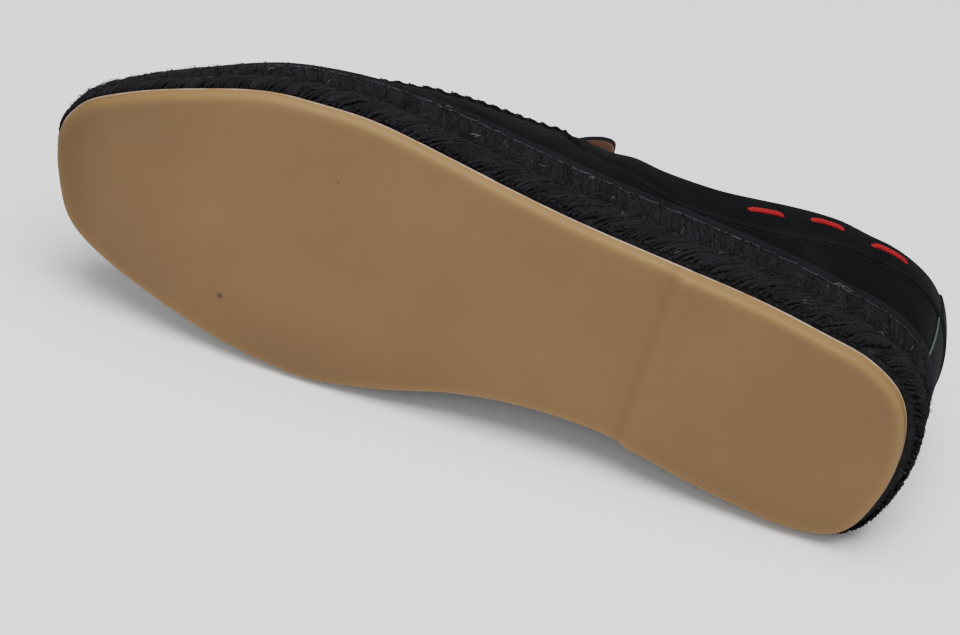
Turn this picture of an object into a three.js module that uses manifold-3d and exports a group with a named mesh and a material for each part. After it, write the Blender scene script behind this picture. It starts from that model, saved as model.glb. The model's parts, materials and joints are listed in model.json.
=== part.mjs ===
// A tassel loafer on a braided jute sole, for the left foot, lying on its inner side.
// It is built in the shoe's own axes, in millimetres: x runs from the back of the heel to the toe, y to the
// outer (little toe) side, and z up from the plane on which the heel and the ball tread.
// The last step lays the finished shoe down on its inner side, with z up from the floor.

import * as THREE from 'three';
import { ConvexHull } from 'three/addons/math/ConvexHull.js';
import Module from 'manifold-3d';

const wasm = await Module();
wasm.setup();

// Sizes of the whole shoe
const soleLength = 293;
const ballWidth = 107;
const gap = 0.3; // air between pieces that touch

// Outsole of moulded rubber
const rubberThickness = 4;
const heelLift = 1.3; // the heel's tread stands this far below the waist
const breastPlace = 84; // front of the heel, from the back of the sole
const breastBevel = 3;
const toeSpring = 5.5;
const rimRadius = 1.7;

// Midsole of braided jute, two rows high
const ropeHeight = 23.7; // at the heel
const ropeProud = 3; // how far it stands out past the rubber at the heel
const ropeGroove = 1.3; // depth of the groove between its rows
const ropeRound = 2.2; // rounding of its upper and lower edges
const ropeLean = 2.4; // how far its upper row stands in on the inner side, where the shoe lies on its edge
const ropeLeanStart = 0.3; // share of its height above which the inner side leans in
const ropeLeanFade = 0.3;

// Insole
const insoleThickness = 2;
const insoleSlack = 2.8; // it is this much narrower in the forepart, where the wall leans in over it
const insoleToe = 7; // and it ends this much further back at the toe
const insoleFades = [0.2, 0.6, 0.92, 1]; // shares of the length between which those two grow

// Upper
const wall = 2;
const collarRise = 42.3; // top of the collar over the midsole, at its highest
const instepRise = 60; // crown of the vamp over the midsole, at the throat
const toeRise = 22; // crown of the toe box over the midsole
const heelForward = 20; // how far the heel curve comes forward on its way up
const heelForwardEnd = 0.34; // share of the length where that has faded
const throatPlace = 145; // front of the opening
const featherInset = 1.2; // upper's lower edge, in from the midsole's fullest line
const bandWidth = 20; // of the collar's band, at its widest
const bandRaise = 1;
const bandFloor = 2.4; // its lower edge stays this far above the wall's foot
const bandEnd = 21; // where the band's step has faded, behind the throat
const bandFade = 12;
const counterPlace = 5; // front edge of the back stay, from the back of the sole
const counterRaise = 0.7;
const seamHeight = 1.4;
const seamWidth = 3.2;
const seamStart = 19; // where the apron seam begins to rise, behind the throat
const seamFade = 8;
const apronFront = 254; // where the apron seam crosses the toe

// Tongue
const tongueThickness = 2.6;
const tongueTip = 124.5;
const tongueLift = 14; // how far its free end stands over the last's crown
const tongueArch = 0.45; // below 1 it rises steeply out of the throat
const tongueRise = 144; // where it starts to rise, behind the front of the throat
const tongueRoom = 1.6; // under the vamp's wall
const tongueFoot = 168;
const tongueHalfWidth = 27;
const tongueRound = 11; // how far from its tip its corners are rounded off

// Lace of red cord, and its tassels
const laceDiameter = 2.2;
const laceDash = 11.5;
const laceDashes = [ // place along the shoe, and drop below the edge of the collar
  { place: 23.5, drop: 6.6 },
  { place: 46, drop: 7.1 },
  { place: 67, drop: 8.8 },
];
const eyeletPlace = 150;
const eyeletSide = 13; // from the crown
const knotPlace = 157;
const knotLength = 11; // across the shoe
const knotWidth = 7;
const knotHeight = 6;
const laceEnd = 9;
const tasselCap = 9;
const tasselCapWidth = 9;
const tasselCapHeight = 6.5;
const tasselStrips = 9;
const stripLength = 31;
const stripShare = 0.8; // of the skirt's width that the strips fill
const stripThickness = 1.6;
const tasselSpread = 17; // width of the skirt at its lower end
const tasselHeading = 53.5;

// Weights of what it is made of, in grams per cubic centimetre
const rubberDensity = 1.2;
const leatherDensity = 0.9;
const fabricDensity = 0.3;

// The sole's outline. at is a share of the sole's length; outer and inner are shares of the ball's width,
// from the axis to each side. rope is a share of the midsole's height, and proud of how far it stands out.
const soleRows = [
  { at: 0, outer: -0.047, inner: -0.047, rope: 1, proud: 1.5 },
  { at: 0.006, outer: 0.085, inner: -0.197, rope: 1, proud: 1.5 },
  { at: 0.018, outer: 0.172, inner: -0.304, rope: 1, proud: 1.4 },
  { at: 0.036, outer: 0.231, inner: -0.364, rope: 1, proud: 1.3 },
  { at: 0.077, outer: 0.293, inner: -0.399, rope: 1, proud: 1.15 },
  { at: 0.12, outer: 0.317, inner: -0.4, rope: 1, proud: 1.05 },
  { at: 0.2, outer: 0.353, inner: -0.372, rope: 1, proud: 1 },
  { at: 0.284, outer: 0.372, inner: -0.328, rope: 1, proud: 1 },
  { at: 0.33, outer: 0.381, inner: -0.31, rope: 1, proud: 1 },
  { at: 0.408, outer: 0.4, inner: -0.316, rope: 1, proud: 0.9 },
  { at: 0.49, outer: 0.432, inner: -0.36, rope: 1, proud: 0.75 },
  { at: 0.573, outer: 0.471, inner: -0.447, rope: 0.96, proud: 0.6 },
  { at: 0.655, outer: 0.5, inner: -0.506, rope: 0.86, proud: 0.5 },
  { at: 0.72, outer: 0.493, inner: -0.5, rope: 0.8, proud: 0.4 },
  { at: 0.78, outer: 0.467, inner: -0.474, rope: 0.68, proud: 0.35 },
  { at: 0.862, outer: 0.373, inner: -0.41, rope: 0.53, proud: 0.25 },
  { at: 0.945, outer: 0.244, inner: -0.316, rope: 0.41, proud: 0.15 },
  { at: 0.975, outer: 0.18, inner: -0.24, rope: 0.36, proud: 0.1 },
  { at: 0.992, outer: 0.11, inner: -0.115, rope: 0.33, proud: 0.1 },
  { at: 1, outer: 0.03, inner: 0.03, rope: 0.32, proud: 0.1 },
];

// The last's cross-sections. instep and toe are shares of those two rises and add up to the crown's height.
// side is the crown's share of the ball's width off the axis. bulge is how far the wall swells over its foot
// in shares of the wall's thickness, steep how high it climbs before it turns, full how flat the crown is.
const lastRows = [
  { at: 0, instep: 1.27, toe: 0, side: -0.047, bulge: 3.2, steep: 0.42, full: 0.66 },
  { at: 0.06, instep: 1.27, toe: 0, side: -0.045, bulge: 1.8, steep: 0.42, full: 0.66 },
  { at: 0.15, instep: 1.27, toe: 0, side: -0.03, bulge: 0.4, steep: 0.45, full: 0.64 },
  { at: 0.3, instep: 1.2, toe: 0, side: 0.02, bulge: -0.5, steep: 0.38, full: 0.5 },
  { at: 0.41, instep: 1.08, toe: 0, side: 0.01, bulge: -0.8, steep: 0.34, full: 0.42 },
  { at: 0.475, instep: 0.99, toe: 0, side: 0, bulge: 0, steep: 0.34, full: 0.4 },
  { at: 0.52, instep: 0.9, toe: 0, side: -0.01, bulge: 0, steep: 0.36, full: 0.42 },
  { at: 0.6, instep: 0.62, toe: 0.26, side: -0.025, bulge: 0, steep: 0.42, full: 0.46 },
  { at: 0.66, instep: 0.42, toe: 0.46, side: -0.03, bulge: -1.2, steep: 0.38, full: 0.46 },
  { at: 0.74, instep: 0.2, toe: 0.78, side: -0.03, bulge: -2.5, steep: 0.36, full: 0.5 },
  { at: 0.8, instep: 0.08, toe: 0.94, side: -0.025, bulge: -3, steep: 0.4, full: 0.52 },
  { at: 0.86, instep: 0, toe: 1, side: -0.01, bulge: -3.5, steep: 0.42, full: 0.55 },
  { at: 0.92, instep: 0, toe: 0.84, side: 0.005, bulge: -3.5, steep: 0.42, full: 0.58 },
  { at: 0.96, instep: 0, toe: 0.62, side: 0.015, bulge: -3, steep: 0.44, full: 0.6 },
  { at: 0.985, instep: 0, toe: 0.38, side: 0.025, bulge: -2, steep: 0.46, full: 0.6 },
  { at: 1, instep: 0, toe: 0, side: 0.03, bulge: 0, steep: 0.5, full: 0.6 },
];

// The band round the collar, as a share of its greatest width
const bandRows = [
  { at: 0, width: 0.65 },
  { at: 0.07, width: 0.71 },
  { at: 0.12, width: 0.8 },
  { at: 0.16, width: 0.94 },
  { at: 0.21, width: 1 },
  { at: 0.27, width: 0.9 },
  { at: 0.33, width: 0.9 },
  { at: 0.4, width: 0.82 },
  { at: 0.45, width: 0.72 },
  { at: 0.5, width: 0.62 },
];

// The apron seam on each side: how far up the wall it lies, as a share of the way from foot to crown
const seamRows = [
  { at: 0.45, climb: 0.45 },
  { at: 0.495, climb: 0.42 },
  { at: 0.55, climb: 0.35 },
  { at: 0.61, climb: 0.3 },
  { at: 0.67, climb: 0.3 },
  { at: 0.74, climb: 0.38 },
  { at: 0.79, climb: 0.52 },
  { at: 0.835, climb: 0.74 },
  { at: 0.867, climb: 0.93 },
];

// The collar's edge from the heel to the throat: its height over the midsole in shares of the collar's rise
const toplineRows = [
  { at: 0, height: 0.955 },
  { at: 0.06, height: 0.955 },
  { at: 0.1, height: 0.93 },
  { at: 0.15, height: 0.955 },
  { at: 0.21, height: 0.785 },
  { at: 0.265, height: 0.612 },
  { at: 0.31, height: 0.538 },
  { at: 0.355, height: 0.565 },
  { at: 0.4, height: 0.69 },
  { at: 1, height: 0.7 },
];
const throatCurve = 0.41; // share of the length where the edge starts to climb to the throat
const throatSteep = 2.3; // how late the collar's edge rises to the throat

// The midsole's side from its foot to its top: up is a share of its height, and in a depth.
const ropeProfile = [
  { up: 0, in: ropeRound },
  { up: 0.07, in: 0.3 * ropeRound },
  { up: 0.24, in: 0 },
  { up: 0.41, in: 0.3 * ropeGroove },
  { up: 0.49, in: ropeGroove },
  { up: 0.57, in: 0.3 * ropeGroove },
  { up: 0.76, in: 0 },
  { up: 0.94, in: 0.25 * ropeRound },
  { up: 1, in: 0.8 * ropeRound },
];

const mix = (a, b, t) => a + (b - a) * t;
const ease = (t) => THREE.MathUtils.smoothstep(t, 0, 1);

// Stations are set by a turn from 0 at the heel to 1 at the toe, which lie closer at both round ends.
const shareOf = (turn) => (1 - Math.cos(Math.PI * turn)) / 2;
const turnOf = (share) => Math.acos(1 - 2 * THREE.MathUtils.clamp(share, 0, 1)) / Math.PI;

// A smooth curve through one column of a table, read at a share of the length.
function column(rows, name, share) {
  const turn = turnOf(share);
  const last = rows.length - 1;
  let i = 0;
  while (i < last - 1 && share > rows[i + 1].at) i++;
  const slope = (k) => {
    const from = Math.max(k - 1, 0);
    const to = Math.min(k + 1, last);
    return (rows[to][name] - rows[from][name]) / (turnOf(rows[to].at) - turnOf(rows[from].at));
  };
  const start = turnOf(rows[i].at);
  const span = turnOf(rows[i + 1].at) - start;
  const t = THREE.MathUtils.clamp((turn - start) / span, 0, 1);
  const t2 = t * t;
  const t3 = t2 * t;
  return (2 * t3 - 3 * t2 + 1) * rows[i][name] + (t3 - 2 * t2 + t) * span * slope(i)
    + (3 * t2 - 2 * t3) * rows[i + 1][name] + (t3 - t2) * span * slope(i + 1);
}

// Collects triangles whose equal corners become one, and gives them back as a geometry.
class Skin {
  constructor() {
    this.corners = [];
    this.known = new Map();
    this.triangles = [];
  }

  corner(point) {
    const key = point.toArray().map((v) => Math.round(v * 1000)).join(' ');
    if (!this.known.has(key)) {
      this.known.set(key, this.corners.length / 3);
      this.corners.push(...point.toArray());
    }
    return this.known.get(key);
  }

  triangle(a, b, c) {
    const ids = [a, b, c].map((p) => this.corner(p));
    if (new Set(ids).size === 3) this.triangles.push(...ids);
  }

  // A strip of quads between two lines of points; side turns it over.
  strip(one, two, side = 1) {
    for (let i = 0; i + 1 < one.length; i++) {
      const quad = [one[i], one[i + 1], two[i + 1], two[i]];
      if (side < 0) quad.reverse();
      this.triangle(quad[0], quad[1], quad[2]);
      this.triangle(quad[0], quad[2], quad[3]);
    }
  }

  // The closed skin as a geometry, turned so that it faces out.
  geometry() {
    const geometry = new THREE.BufferGeometry();
    geometry.setAttribute('position', new THREE.Float32BufferAttribute(this.corners, 3));
    const inward = weigh([{ geometry: geometry.setIndex(this.triangles), density: 1 }]).mass < 0;
    return inward ? geometry.setIndex(this.triangles.reverse()) : geometry;
  }
}

// The corners of a geometry's triangles, three to each
function cornersOf(geometry) {
  const position = geometry.getAttribute('position');
  const index = geometry.getIndex();
  return Array.from({ length: index ? index.count : position.count }, (_, i) =>
    new THREE.Vector3().fromBufferAttribute(position, index ? index.getX(i) : i));
}

// Mass, in milligrams where densities are in grams per cubic centimetre, and centre of mass
function weigh(pieces) {
  let mass = 0;
  const centre = new THREE.Vector3();
  for (const { geometry, density } of pieces) {
    const corners = cornersOf(geometry);
    for (let i = 0; i < corners.length; i += 3) {
      const [a, b, c] = corners.slice(i, i + 3);
      const share = density * a.dot(b.clone().cross(c)) / 6;
      mass += share;
      centre.addScaledVector(a.clone().add(b).add(c), share / 4);
    }
  }
  return { mass, centre: centre.divideScalar(mass) };
}

// A closed solid from rings of as many points, first ring to last, with a fan over each end.
function tubeSolid(rings) {
  const skin = new Skin();
  const closed = rings.map((ring) => [...ring, ring[0]]);
  for (let k = 0; k + 1 < closed.length; k++) skin.strip(closed[k], closed[k + 1]);
  const middle = (ring) => ring.reduce((sum, p) => sum.add(p), new THREE.Vector3())
    .divideScalar(ring.length);
  const first = middle(rings[0]);
  const last = middle(rings[rings.length - 1]);
  for (let i = 0; i < rings[0].length; i++) {
    skin.triangle(first, closed[0][i + 1], closed[0][i]);
    skin.triangle(last, closed[rings.length - 1][i], closed[rings.length - 1][i + 1]);
  }
  return skin.geometry();
}

// Joins and cuts of solids
function toSolid(geometry) {
  const skin = new Skin();
  const corners = cornersOf(geometry);
  for (let i = 0; i < corners.length; i += 3) skin.triangle(...corners.slice(i, i + 3));
  return new wasm.Manifold(new wasm.Mesh({
    numProp: 3,
    vertProperties: new Float32Array(skin.corners),
    triVerts: new Uint32Array(skin.triangles),
  }));
}

function toGeometry(solid) {
  const mesh = solid.getMesh();
  const geometry = new THREE.BufferGeometry();
  geometry.setAttribute('position', new THREE.BufferAttribute(new Float32Array(mesh.vertProperties), 3));
  geometry.setIndex(new THREE.BufferAttribute(new Uint32Array(mesh.triVerts), 1));
  return geometry;
}

// Heights along the sole
function waistLine(share) {
  const ballStart = 0.6;
  const ballEnd = 0.72;
  const breast = breastPlace / soleLength;
  const dropped = heelLift * (1 - ease((share - breast) / (ballStart - breast)));
  const sprung = toeSpring * Math.max(0, (share - ballEnd) / (1 - ballEnd)) ** 1.8;
  return dropped + sprung;
}
const rubberTop = (share) => waistLine(share) + rubberThickness;
const ropeFoot = (share) => rubberTop(share) + gap;
const ropeTop = (share) => rubberTop(share) + ropeHeight * column(soleRows, 'rope', share);

// The tread steps up from the heel to the waist along a bevel.
function treadLine(turn) {
  const x = soleLength * shareOf(turn);
  const stepped = THREE.MathUtils.clamp((x - breastPlace) / breastBevel, 0, 1);
  return waistLine(shareOf(turn)) - heelLift * (1 - stepped);
}

// A point of the sole's outline on one side (1 outer, -1 inner), pushed out by grow.
function outlinePoint(turn, side, grow) {
  const edge = (t) => {
    const share = shareOf(t);
    const width = column(soleRows, side > 0 ? 'outer' : 'inner', share);
    return new THREE.Vector2(soleLength * share, ballWidth * width);
  };
  const here = edge(turn);
  if (turn === 0 || turn === 1) return here.add(new THREE.Vector2(turn === 0 ? -grow : grow, 0));
  const step = Math.min(0.004, turn, 1 - turn);
  const along = edge(turn + step).sub(edge(turn - step)).normalize();
  return here.add(new THREE.Vector2(-along.y, along.x).multiplyScalar(side * grow));
}
const ropeEdge = (share) => ropeProud * column(soleRows, 'proud', share);

// A closed solid from rings round the sole, lowest first, closed by strips from side to side.
function ringSolid(turns, rings) {
  const skin = new Skin();
  const sides = (side) => rings.map((ring) => turns.map((turn) => ring(turn, side)));
  const outer = sides(1);
  const inner = sides(-1);
  for (let k = 0; k + 1 < rings.length; k++) {
    skin.strip(outer[k + 1], outer[k]);
    skin.strip(inner[k], inner[k + 1]);
  }
  skin.strip(outer[0], inner[0]);
  skin.strip(inner[rings.length - 1], outer[rings.length - 1]);
  return skin.geometry();
}
const ringPoint = (turn, side, grow, height) => {
  const p = outlinePoint(turn, side, grow);
  return new THREE.Vector3(p.x, p.y, height);
};

const evenTurns = (count) => Array.from({ length: count + 1 }, (_, i) => i / count);
const withPlaces = (turns, places) => [...new Set([...turns, ...places.map((x) => turnOf(x / soleLength))])]
  .sort((a, b) => a - b);

const soleTurns = withPlaces(evenTurns(38), [breastPlace, breastPlace + breastBevel]);

function outsoleGeometry() {
  const corner = rimRadius * (1 - Math.SQRT1_2);
  const rings = [
    { grow: -rimRadius, up: 0, of: 0 },
    { grow: -corner, up: corner, of: 0 },
    { grow: 0, up: rimRadius, of: 0 },
    { grow: 0, up: -corner, of: 1 },
    { grow: -corner, up: 0, of: 1 },
  ];
  return ringSolid(soleTurns, rings.map(({ grow, up, of }) => (turn, side) => {
    const height = of ? rubberTop(shareOf(turn)) : treadLine(turn);
    return ringPoint(turn, side, grow, height + up);
  }));
}

function midsoleGeometry() {
  return ringSolid(soleTurns, ropeProfile.map((row) => (turn, side) => {
    const share = shareOf(turn);
    const height = mix(ropeFoot(share), ropeTop(share), row.up);
    const leaning = ease((row.up - ropeLeanStart) / ropeLeanFade);
    const lean = side < 0 ? ropeLean * leaning * Math.sin(Math.PI * turn) ** 0.5 : 0;
    return ringPoint(turn, side, ropeEdge(share) - row.in - lean, height);
  }));
}

const upperFoot = (share) => ropeEdge(share) - featherInset;

function insoleGeometry() {
  const [waist, ball, tip, end] = insoleFades;
  const inset = (share) => wall + gap + insoleSlack * ease((share - waist) / (ball - waist))
    + insoleToe * ease((share - tip) / (end - tip));
  const foot = (share) => ropeTop(share) + gap;
  const rings = [0, 1].map((level) => (turn, side) => {
    const share = shareOf(turn);
    return ringPoint(turn, side, upperFoot(share) - inset(share), foot(share) + level * insoleThickness);
  });
  return ringSolid(soleTurns, rings);
}

// The cross-section of the last on one side, from the foot of the wall up to the crown, moved in by inset.
function sectionCurve(turn, side, inset) {
  const share = shareOf(turn);
  const value = (name) => column(lastRows, name, share);
  const reach = upperFoot(share) - inset;
  const foot = outlinePoint(turn, side, reach);
  const swollen = outlinePoint(turn, side, reach + value('bulge') * wall);
  const opposite = outlinePoint(turn, -side, reach);
  const base = ropeTop(share) + gap;
  const rise = instepRise * value('instep') + toeRise * value('toe');
  const lowered = inset * Math.min(1, rise / (0.5 * toeRise));
  const top = base + rise - lowered;
  const forward = heelForward * (1 - ease(share / heelForwardEnd));
  const crown = new THREE.Vector3((foot.x + opposite.x) / 2 + forward, ballWidth * value('side'), top);
  const start = new THREE.Vector3(foot.x, foot.y, base);
  const rising = new THREE.Vector3(swollen.x, swollen.y, mix(base, top, value('steep')));
  const turning = new THREE.Vector3(foot.x, foot.y, top).lerp(crown, 1 - value('full'));
  return new THREE.CubicBezierCurve3(start, rising, turning, crown);
}

const throatShare = throatPlace / soleLength;
const throatTurn = turnOf(throatShare);
const throatHeight = sectionCurve(throatTurn, 1, 0).v3.z;

// Height of the collar's edge at a place along the shoe
function toplineHeight(x) {
  const share = x / soleLength;
  const low = ropeTop(Math.max(share, 0)) + collarRise * column(toplineRows, 'height', share);
  const climb = THREE.MathUtils.clamp((share - throatCurve) / (throatShare - throatCurve), 0, 1);
  return mix(low, throatHeight, climb ** throatSteep);
}

// How far up a section its wall goes: to the collar's edge, or to the crown in front of the throat.
function topClimb(curve, turn) {
  if (turn >= throatTurn) return 1;
  let low = 0;
  let high = 1;
  for (let i = 0; i < 30; i++) {
    const t = (low + high) / 2;
    const p = curve.getPoint(t);
    if (p.z < toplineHeight(p.x)) low = t;
    else high = t;
  }
  return low;
}

// The apron seam dips from the throat along each side of the vamp and climbs to meet over the toe.
const seamClimb = (turn) => column(seamRows, 'climb', shareOf(turn));

const stationPlaces = [
  counterPlace, counterPlace + 1, ...[15, 10, 6, 3.5, 1.7, 0.6, 0].map((back) => throatPlace - back),
  apronFront - seamWidth, apronFront, apronFront + seamWidth,
];
const upperTurns = withPlaces(evenTurns(44), stationPlaces);

// One side of a section of the wall's outer face, with the steps of its overlays
function outerRow(turn, side) {
  const curve = sectionCurve(turn, side, 0);
  const length = Math.max(curve.getLength(), toeRise);
  const top = topClimb(curve, turn);
  const x = soleLength * shareOf(turn);
  const bandFoot = Math.max(
    top - bandWidth * column(bandRows, 'width', shareOf(turn)) / length, bandFloor / length);
  const line = turn < throatTurn ? Math.min(seamClimb(turn), bandFoot) : seamClimb(turn);
  const half = seamWidth / 2 / length;
  const banded = bandRaise * ease((throatPlace - bandEnd - x) / bandFade);
  const rising = ease((x - throatPlace + seamStart) / seamFade);
  const seamed = seamHeight * rising * (1 - ease((x - apronFront) / seamWidth));
  const backed = x <= counterPlace ? counterRaise : 0;
  const front = seamHeight * Math.max(0, 1 - Math.abs(x - apronFront) / seamWidth);
  const rows = [];
  for (let j = 0; j < 7; j++) rows.push({ climb: (line - half) * j / 6, raise: backed });
  rows.push({ climb: line, raise: Math.max(banded, seamed) + backed });
  rows.push({ climb: line + half, raise: Math.max(banded, front) + backed });
  for (let j = 1; j < 4; j++) {
    rows.push({ climb: mix(line + half, top, j / 3), raise: Math.max(banded, front) + backed });
  }
  return rows.map(({ climb, raise }) => sectionCurve(turn, side, -raise).getPoint(climb));
}

function innerRow(turn, side) {
  const curve = sectionCurve(turn, side, wall);
  const top = topClimb(sectionCurve(turn, side, 0), turn);
  return Array.from({ length: 9 }, (_, j) => curve.getPoint(top * j / 8));
}

function upperShell() {
  const skin = new Skin();
  for (const side of [1, -1]) {
    const outer = upperTurns.map((turn) => outerRow(turn, side));
    const inner = upperTurns.map((turn) => innerRow(turn, side));
    for (let i = 0; i + 1 < upperTurns.length; i++) {
      skin.strip(outer[i], outer[i + 1], side);
      skin.strip(inner[i + 1], inner[i], side);
    }
    const line = (rows, place) => rows.map((row) => row.at(place));
    skin.strip(line(outer, 0), line(inner, 0), side);
    const open = upperTurns.indexOf(throatTurn) + 1;
    skin.strip(line(inner, -1).slice(0, open), line(outer, -1).slice(0, open), side);
  }
  return skin.geometry();
}

// A round cord along a line of points
function cordGeometry(points, diameter, steps) {
  const section = new THREE.Shape();
  section.absarc(0, 0, diameter / 2, 0, 2 * Math.PI);
  return new THREE.ExtrudeGeometry(section, {
    extrudePath: new THREE.CatmullRomCurve3(points),
    steps,
    curveSegments: 4,
  });
}

// The line of one dash of the lace, sunk to half its thickness in the collar
function dashLine({ place, drop }, side, extra) {
  return [-0.5, -0.25, 0, 0.25, 0.5].map((along) => {
    const turn = turnOf((place + along * (laceDash + 2 * extra)) / soleLength);
    const flat = sectionCurve(turn, side, 0);
    const climb = topClimb(flat, turn) - drop / flat.getLength();
    return sectionCurve(turn, side, -bandRaise).getPoint(climb);
  });
}

// The tongue lies under the vamp and stands out of the throat along the last's crown.
function tongueGeometry() {
  const skin = new Skin();
  const across = 6;
  const free = 8;
  const hidden = 5;
  const places = [
    ...Array.from({ length: free }, (_, i) => (
      mix(tongueTip, throatPlace, (1 - Math.cos(Math.PI * i / free)) / 2))),
    ...Array.from({ length: hidden + 1 }, (_, i) => mix(throatPlace, tongueFoot, i / hidden)),
  ];
  const face = (depth) => places.map((place) => {
    const turn = turnOf(place / soleLength);
    const rising = THREE.MathUtils.clamp((tongueRise - place) / (tongueRise - tongueTip), 0, 1);
    const lifted = tongueLift * Math.sin(Math.PI / 2 * rising) ** tongueArch;
    const corner = THREE.MathUtils.clamp((place - tongueTip) / tongueRound, 0, 1);
    const rounded = Math.sqrt(1 - (1 - corner) ** 2);
    const width = tongueHalfWidth * mix(0.35, 1, rounded);
    const half = (side) => {
      const edge = sectionCurve(turn, side, 0);
      const open = Math.max((1 - topClimb(edge, turn)) * edge.getLength() - wall, gap);
      return Array.from({ length: across + 1 }, (_, j) => {
        const fromCrown = width * j / across;
        const arched = lifted * Math.max(0, 1 - (fromCrown / open) ** 2);
        const curve = sectionCurve(turn, side, wall + tongueRoom - arched + depth);
        return curve.getPoint(1 - fromCrown / curve.getLength());
      });
    };
    return [...half(1).reverse(), ...half(-1).slice(1)];
  });
  const top = face(0);
  const bottom = face(tongueThickness);
  for (let i = 0; i + 1 < places.length; i++) {
    skin.strip(top[i], top[i + 1]);
    skin.strip(bottom[i], bottom[i + 1], -1);
  }
  skin.strip(top[0], bottom[0], -1);
  skin.strip(top.at(-1), bottom.at(-1));
  const edge = (rows, place) => rows.map((row) => row.at(place));
  skin.strip(edge(top, 0), edge(bottom, 0));
  skin.strip(edge(top, -1), edge(bottom, -1), -1);
  return skin.geometry();
}

// Where things lie on the vamp: ahead of the knot's middle by forth, along a heading off the shoe's axis, to
// one side of that line by aside, and up from the upper's face by raise.
function onVamp(side, heading, forth, aside, raise) {
  const place = knotPlace + Math.cos(heading) * forth - Math.sin(heading) * aside;
  const fromCrown = Math.sin(heading) * forth + Math.cos(heading) * aside;
  const curve = sectionCurve(turnOf(place / soleLength), fromCrown < 0 ? -side : side, -raise);
  return curve.getPointAt(1 - Math.abs(fromCrown) / curve.getLength());
}

const knotRaise = knotHeight / 2 + 4 * gap; // the vamp rises behind it
const knotMiddle = onVamp(1, 0, 0, 0, knotRaise);
function knotGeometry() {
  const knot = new THREE.SphereGeometry(0.5, 14, 8);
  return knot.scale(knotWidth, knotLength, knotHeight).translate(...knotMiddle.toArray());
}

// Distance from the knot's middle at which a cord begins that leaves it along a heading
const knotReach = (heading) => 2.4 * gap
  + 0.5 / Math.hypot(Math.cos(heading) / knotWidth, Math.sin(heading) / knotLength);

// A bar of the lace from an eyelet to the knot
function barGeometry(side) {
  const heading = Math.atan2(eyeletSide, eyeletPlace - knotPlace);
  const end = Math.hypot(eyeletSide, eyeletPlace - knotPlace);
  const line = [0, 0.5, 1].map((t) => onVamp(
    side, heading, mix(knotReach(heading), end, t), 0, mix(knotRaise, laceDiameter / 2 + gap, t)));
  return cordGeometry(line, laceDiameter, 4);
}

// A tassel's pieces follow its way, a function of the distance from the knot, aside and raise.
const capStart = laceEnd + 2.5 * gap;
const skirtStart = capStart + 0.75 * tasselCap;
const skirtLength = stripLength + 0.25 * tasselCap;
const tasselSeat = seamHeight + gap; // it lies over the apron seam
const capRaise = tasselSeat + tasselCapHeight / 2;

function endGeometry(way) {
  const line = [0, 0.25, 0.5, 0.75, 1].map((t) => way(t * laceEnd, 0, mix(knotRaise, capRaise, t)));
  return cordGeometry(line, laceDiameter, 6);
}

const capProfile = [
  { along: 0, wide: 0.55 },
  { along: 0.12, wide: 0.85 },
  { along: 0.3, wide: 1 },
  { along: 0.75, wide: 1 },
  { along: 0.92, wide: 0.85 },
  { along: 1, wide: 0.8 },
];

// The skirt is one piece under the cap, and is cut into strips further down.
const skirtRaise = (t) => mix(capRaise, tasselSeat + stripThickness, ease(t));
const skirtWidth = (t) => mix(0.75 * tasselCapWidth, tasselSpread, t ** 0.8);

function tasselGeometry(way) {
  const sides = 12;
  const ring = (forth, raise, width, height) => Array.from({ length: sides }, (_, i) => {
    const angle = 2 * Math.PI * (i + 0.5) / sides;
    return way(forth, width / 2 * Math.cos(angle), raise + height / 2 * Math.sin(angle));
  });
  const cap = capProfile.map(({ along, wide }) =>
    ring(capStart + along * tasselCap, capRaise, wide * tasselCapWidth, wide * tasselCapHeight));
  const skirt = [0, 0.25, 0.5].map((t) => {
    const height = mix(0.7 * tasselCapHeight, 1.5 * stripThickness, 2 * t);
    return ring(skirtStart + t * skirtLength, skirtRaise(t), skirtWidth(t), height);
  });
  let tassel = toSolid(tubeSolid(cap)).add(toSolid(tubeSolid(skirt)));
  for (let k = 0; k < tasselStrips; k++) {
    const place = (k - (tasselStrips - 1) / 2) / tasselStrips;
    const lifted = (k % 2 ? 0.2 : -0.2) * stripThickness;
    const end = 1 - 0.06 * (k % 3);
    const rings = [0.35, 0.55, 0.78, end].map((t) => {
      const width = stripShare * skirtWidth(t) / tasselStrips;
      return [[1, 1], [1, -1], [-1, -1], [-1, 1]].map(([a, b]) => way(skirtStart + t * skirtLength,
        place * skirtWidth(t) + a * width / 2, skirtRaise(t) + lifted + b * stripThickness / 2));
    });
    tassel = tassel.add(toSolid(tubeSolid(rings)));
  }
  return toGeometry(tassel);
}

// The outer tassel lies over the vamp. The inner one hangs down to the floor beside it.
function outerWay(forth, aside, raise) {
  const heading = THREE.MathUtils.degToRad(tasselHeading);
  return onVamp(1, heading, knotReach(heading) + forth, aside, raise);
}

// room is the knot's height over the floor.
function hangingWay(down, room) {
  const heading = Math.PI / 4;
  const start = new THREE.Vector3(Math.cos(heading), -Math.sin(heading), 0);
  const forward = new THREE.Vector3(1, 0, 0);
  const outward = new THREE.Vector3(0, 0, 1);
  const from = knotMiddle.clone().addScaledVector(start, knotReach(heading));
  const drop = room - knotReach(heading) - 2 * stripThickness;
  const corner = from.clone().addScaledVector(down, drop);
  const run = 2 * (skirtStart + skirtLength - drop);
  const leaving = from.clone().addScaledVector(start, laceEnd / 2);
  const end = corner.clone().addScaledVector(outward, run);
  const curve = new THREE.CubicBezierCurve3(from, leaving, corner, end);
  return (forth, aside, raise) => {
    const t = THREE.MathUtils.clamp(forth / curve.getLength(), 0, 1);
    const along = curve.getTangentAt(t);
    const lift = along.clone().cross(forward).normalize();
    const point = curve.getPointAt(t).addScaledVector(lift, raise - knotRaise);
    return point.addScaledVector(lift.cross(along), aside);
  };
}

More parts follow.
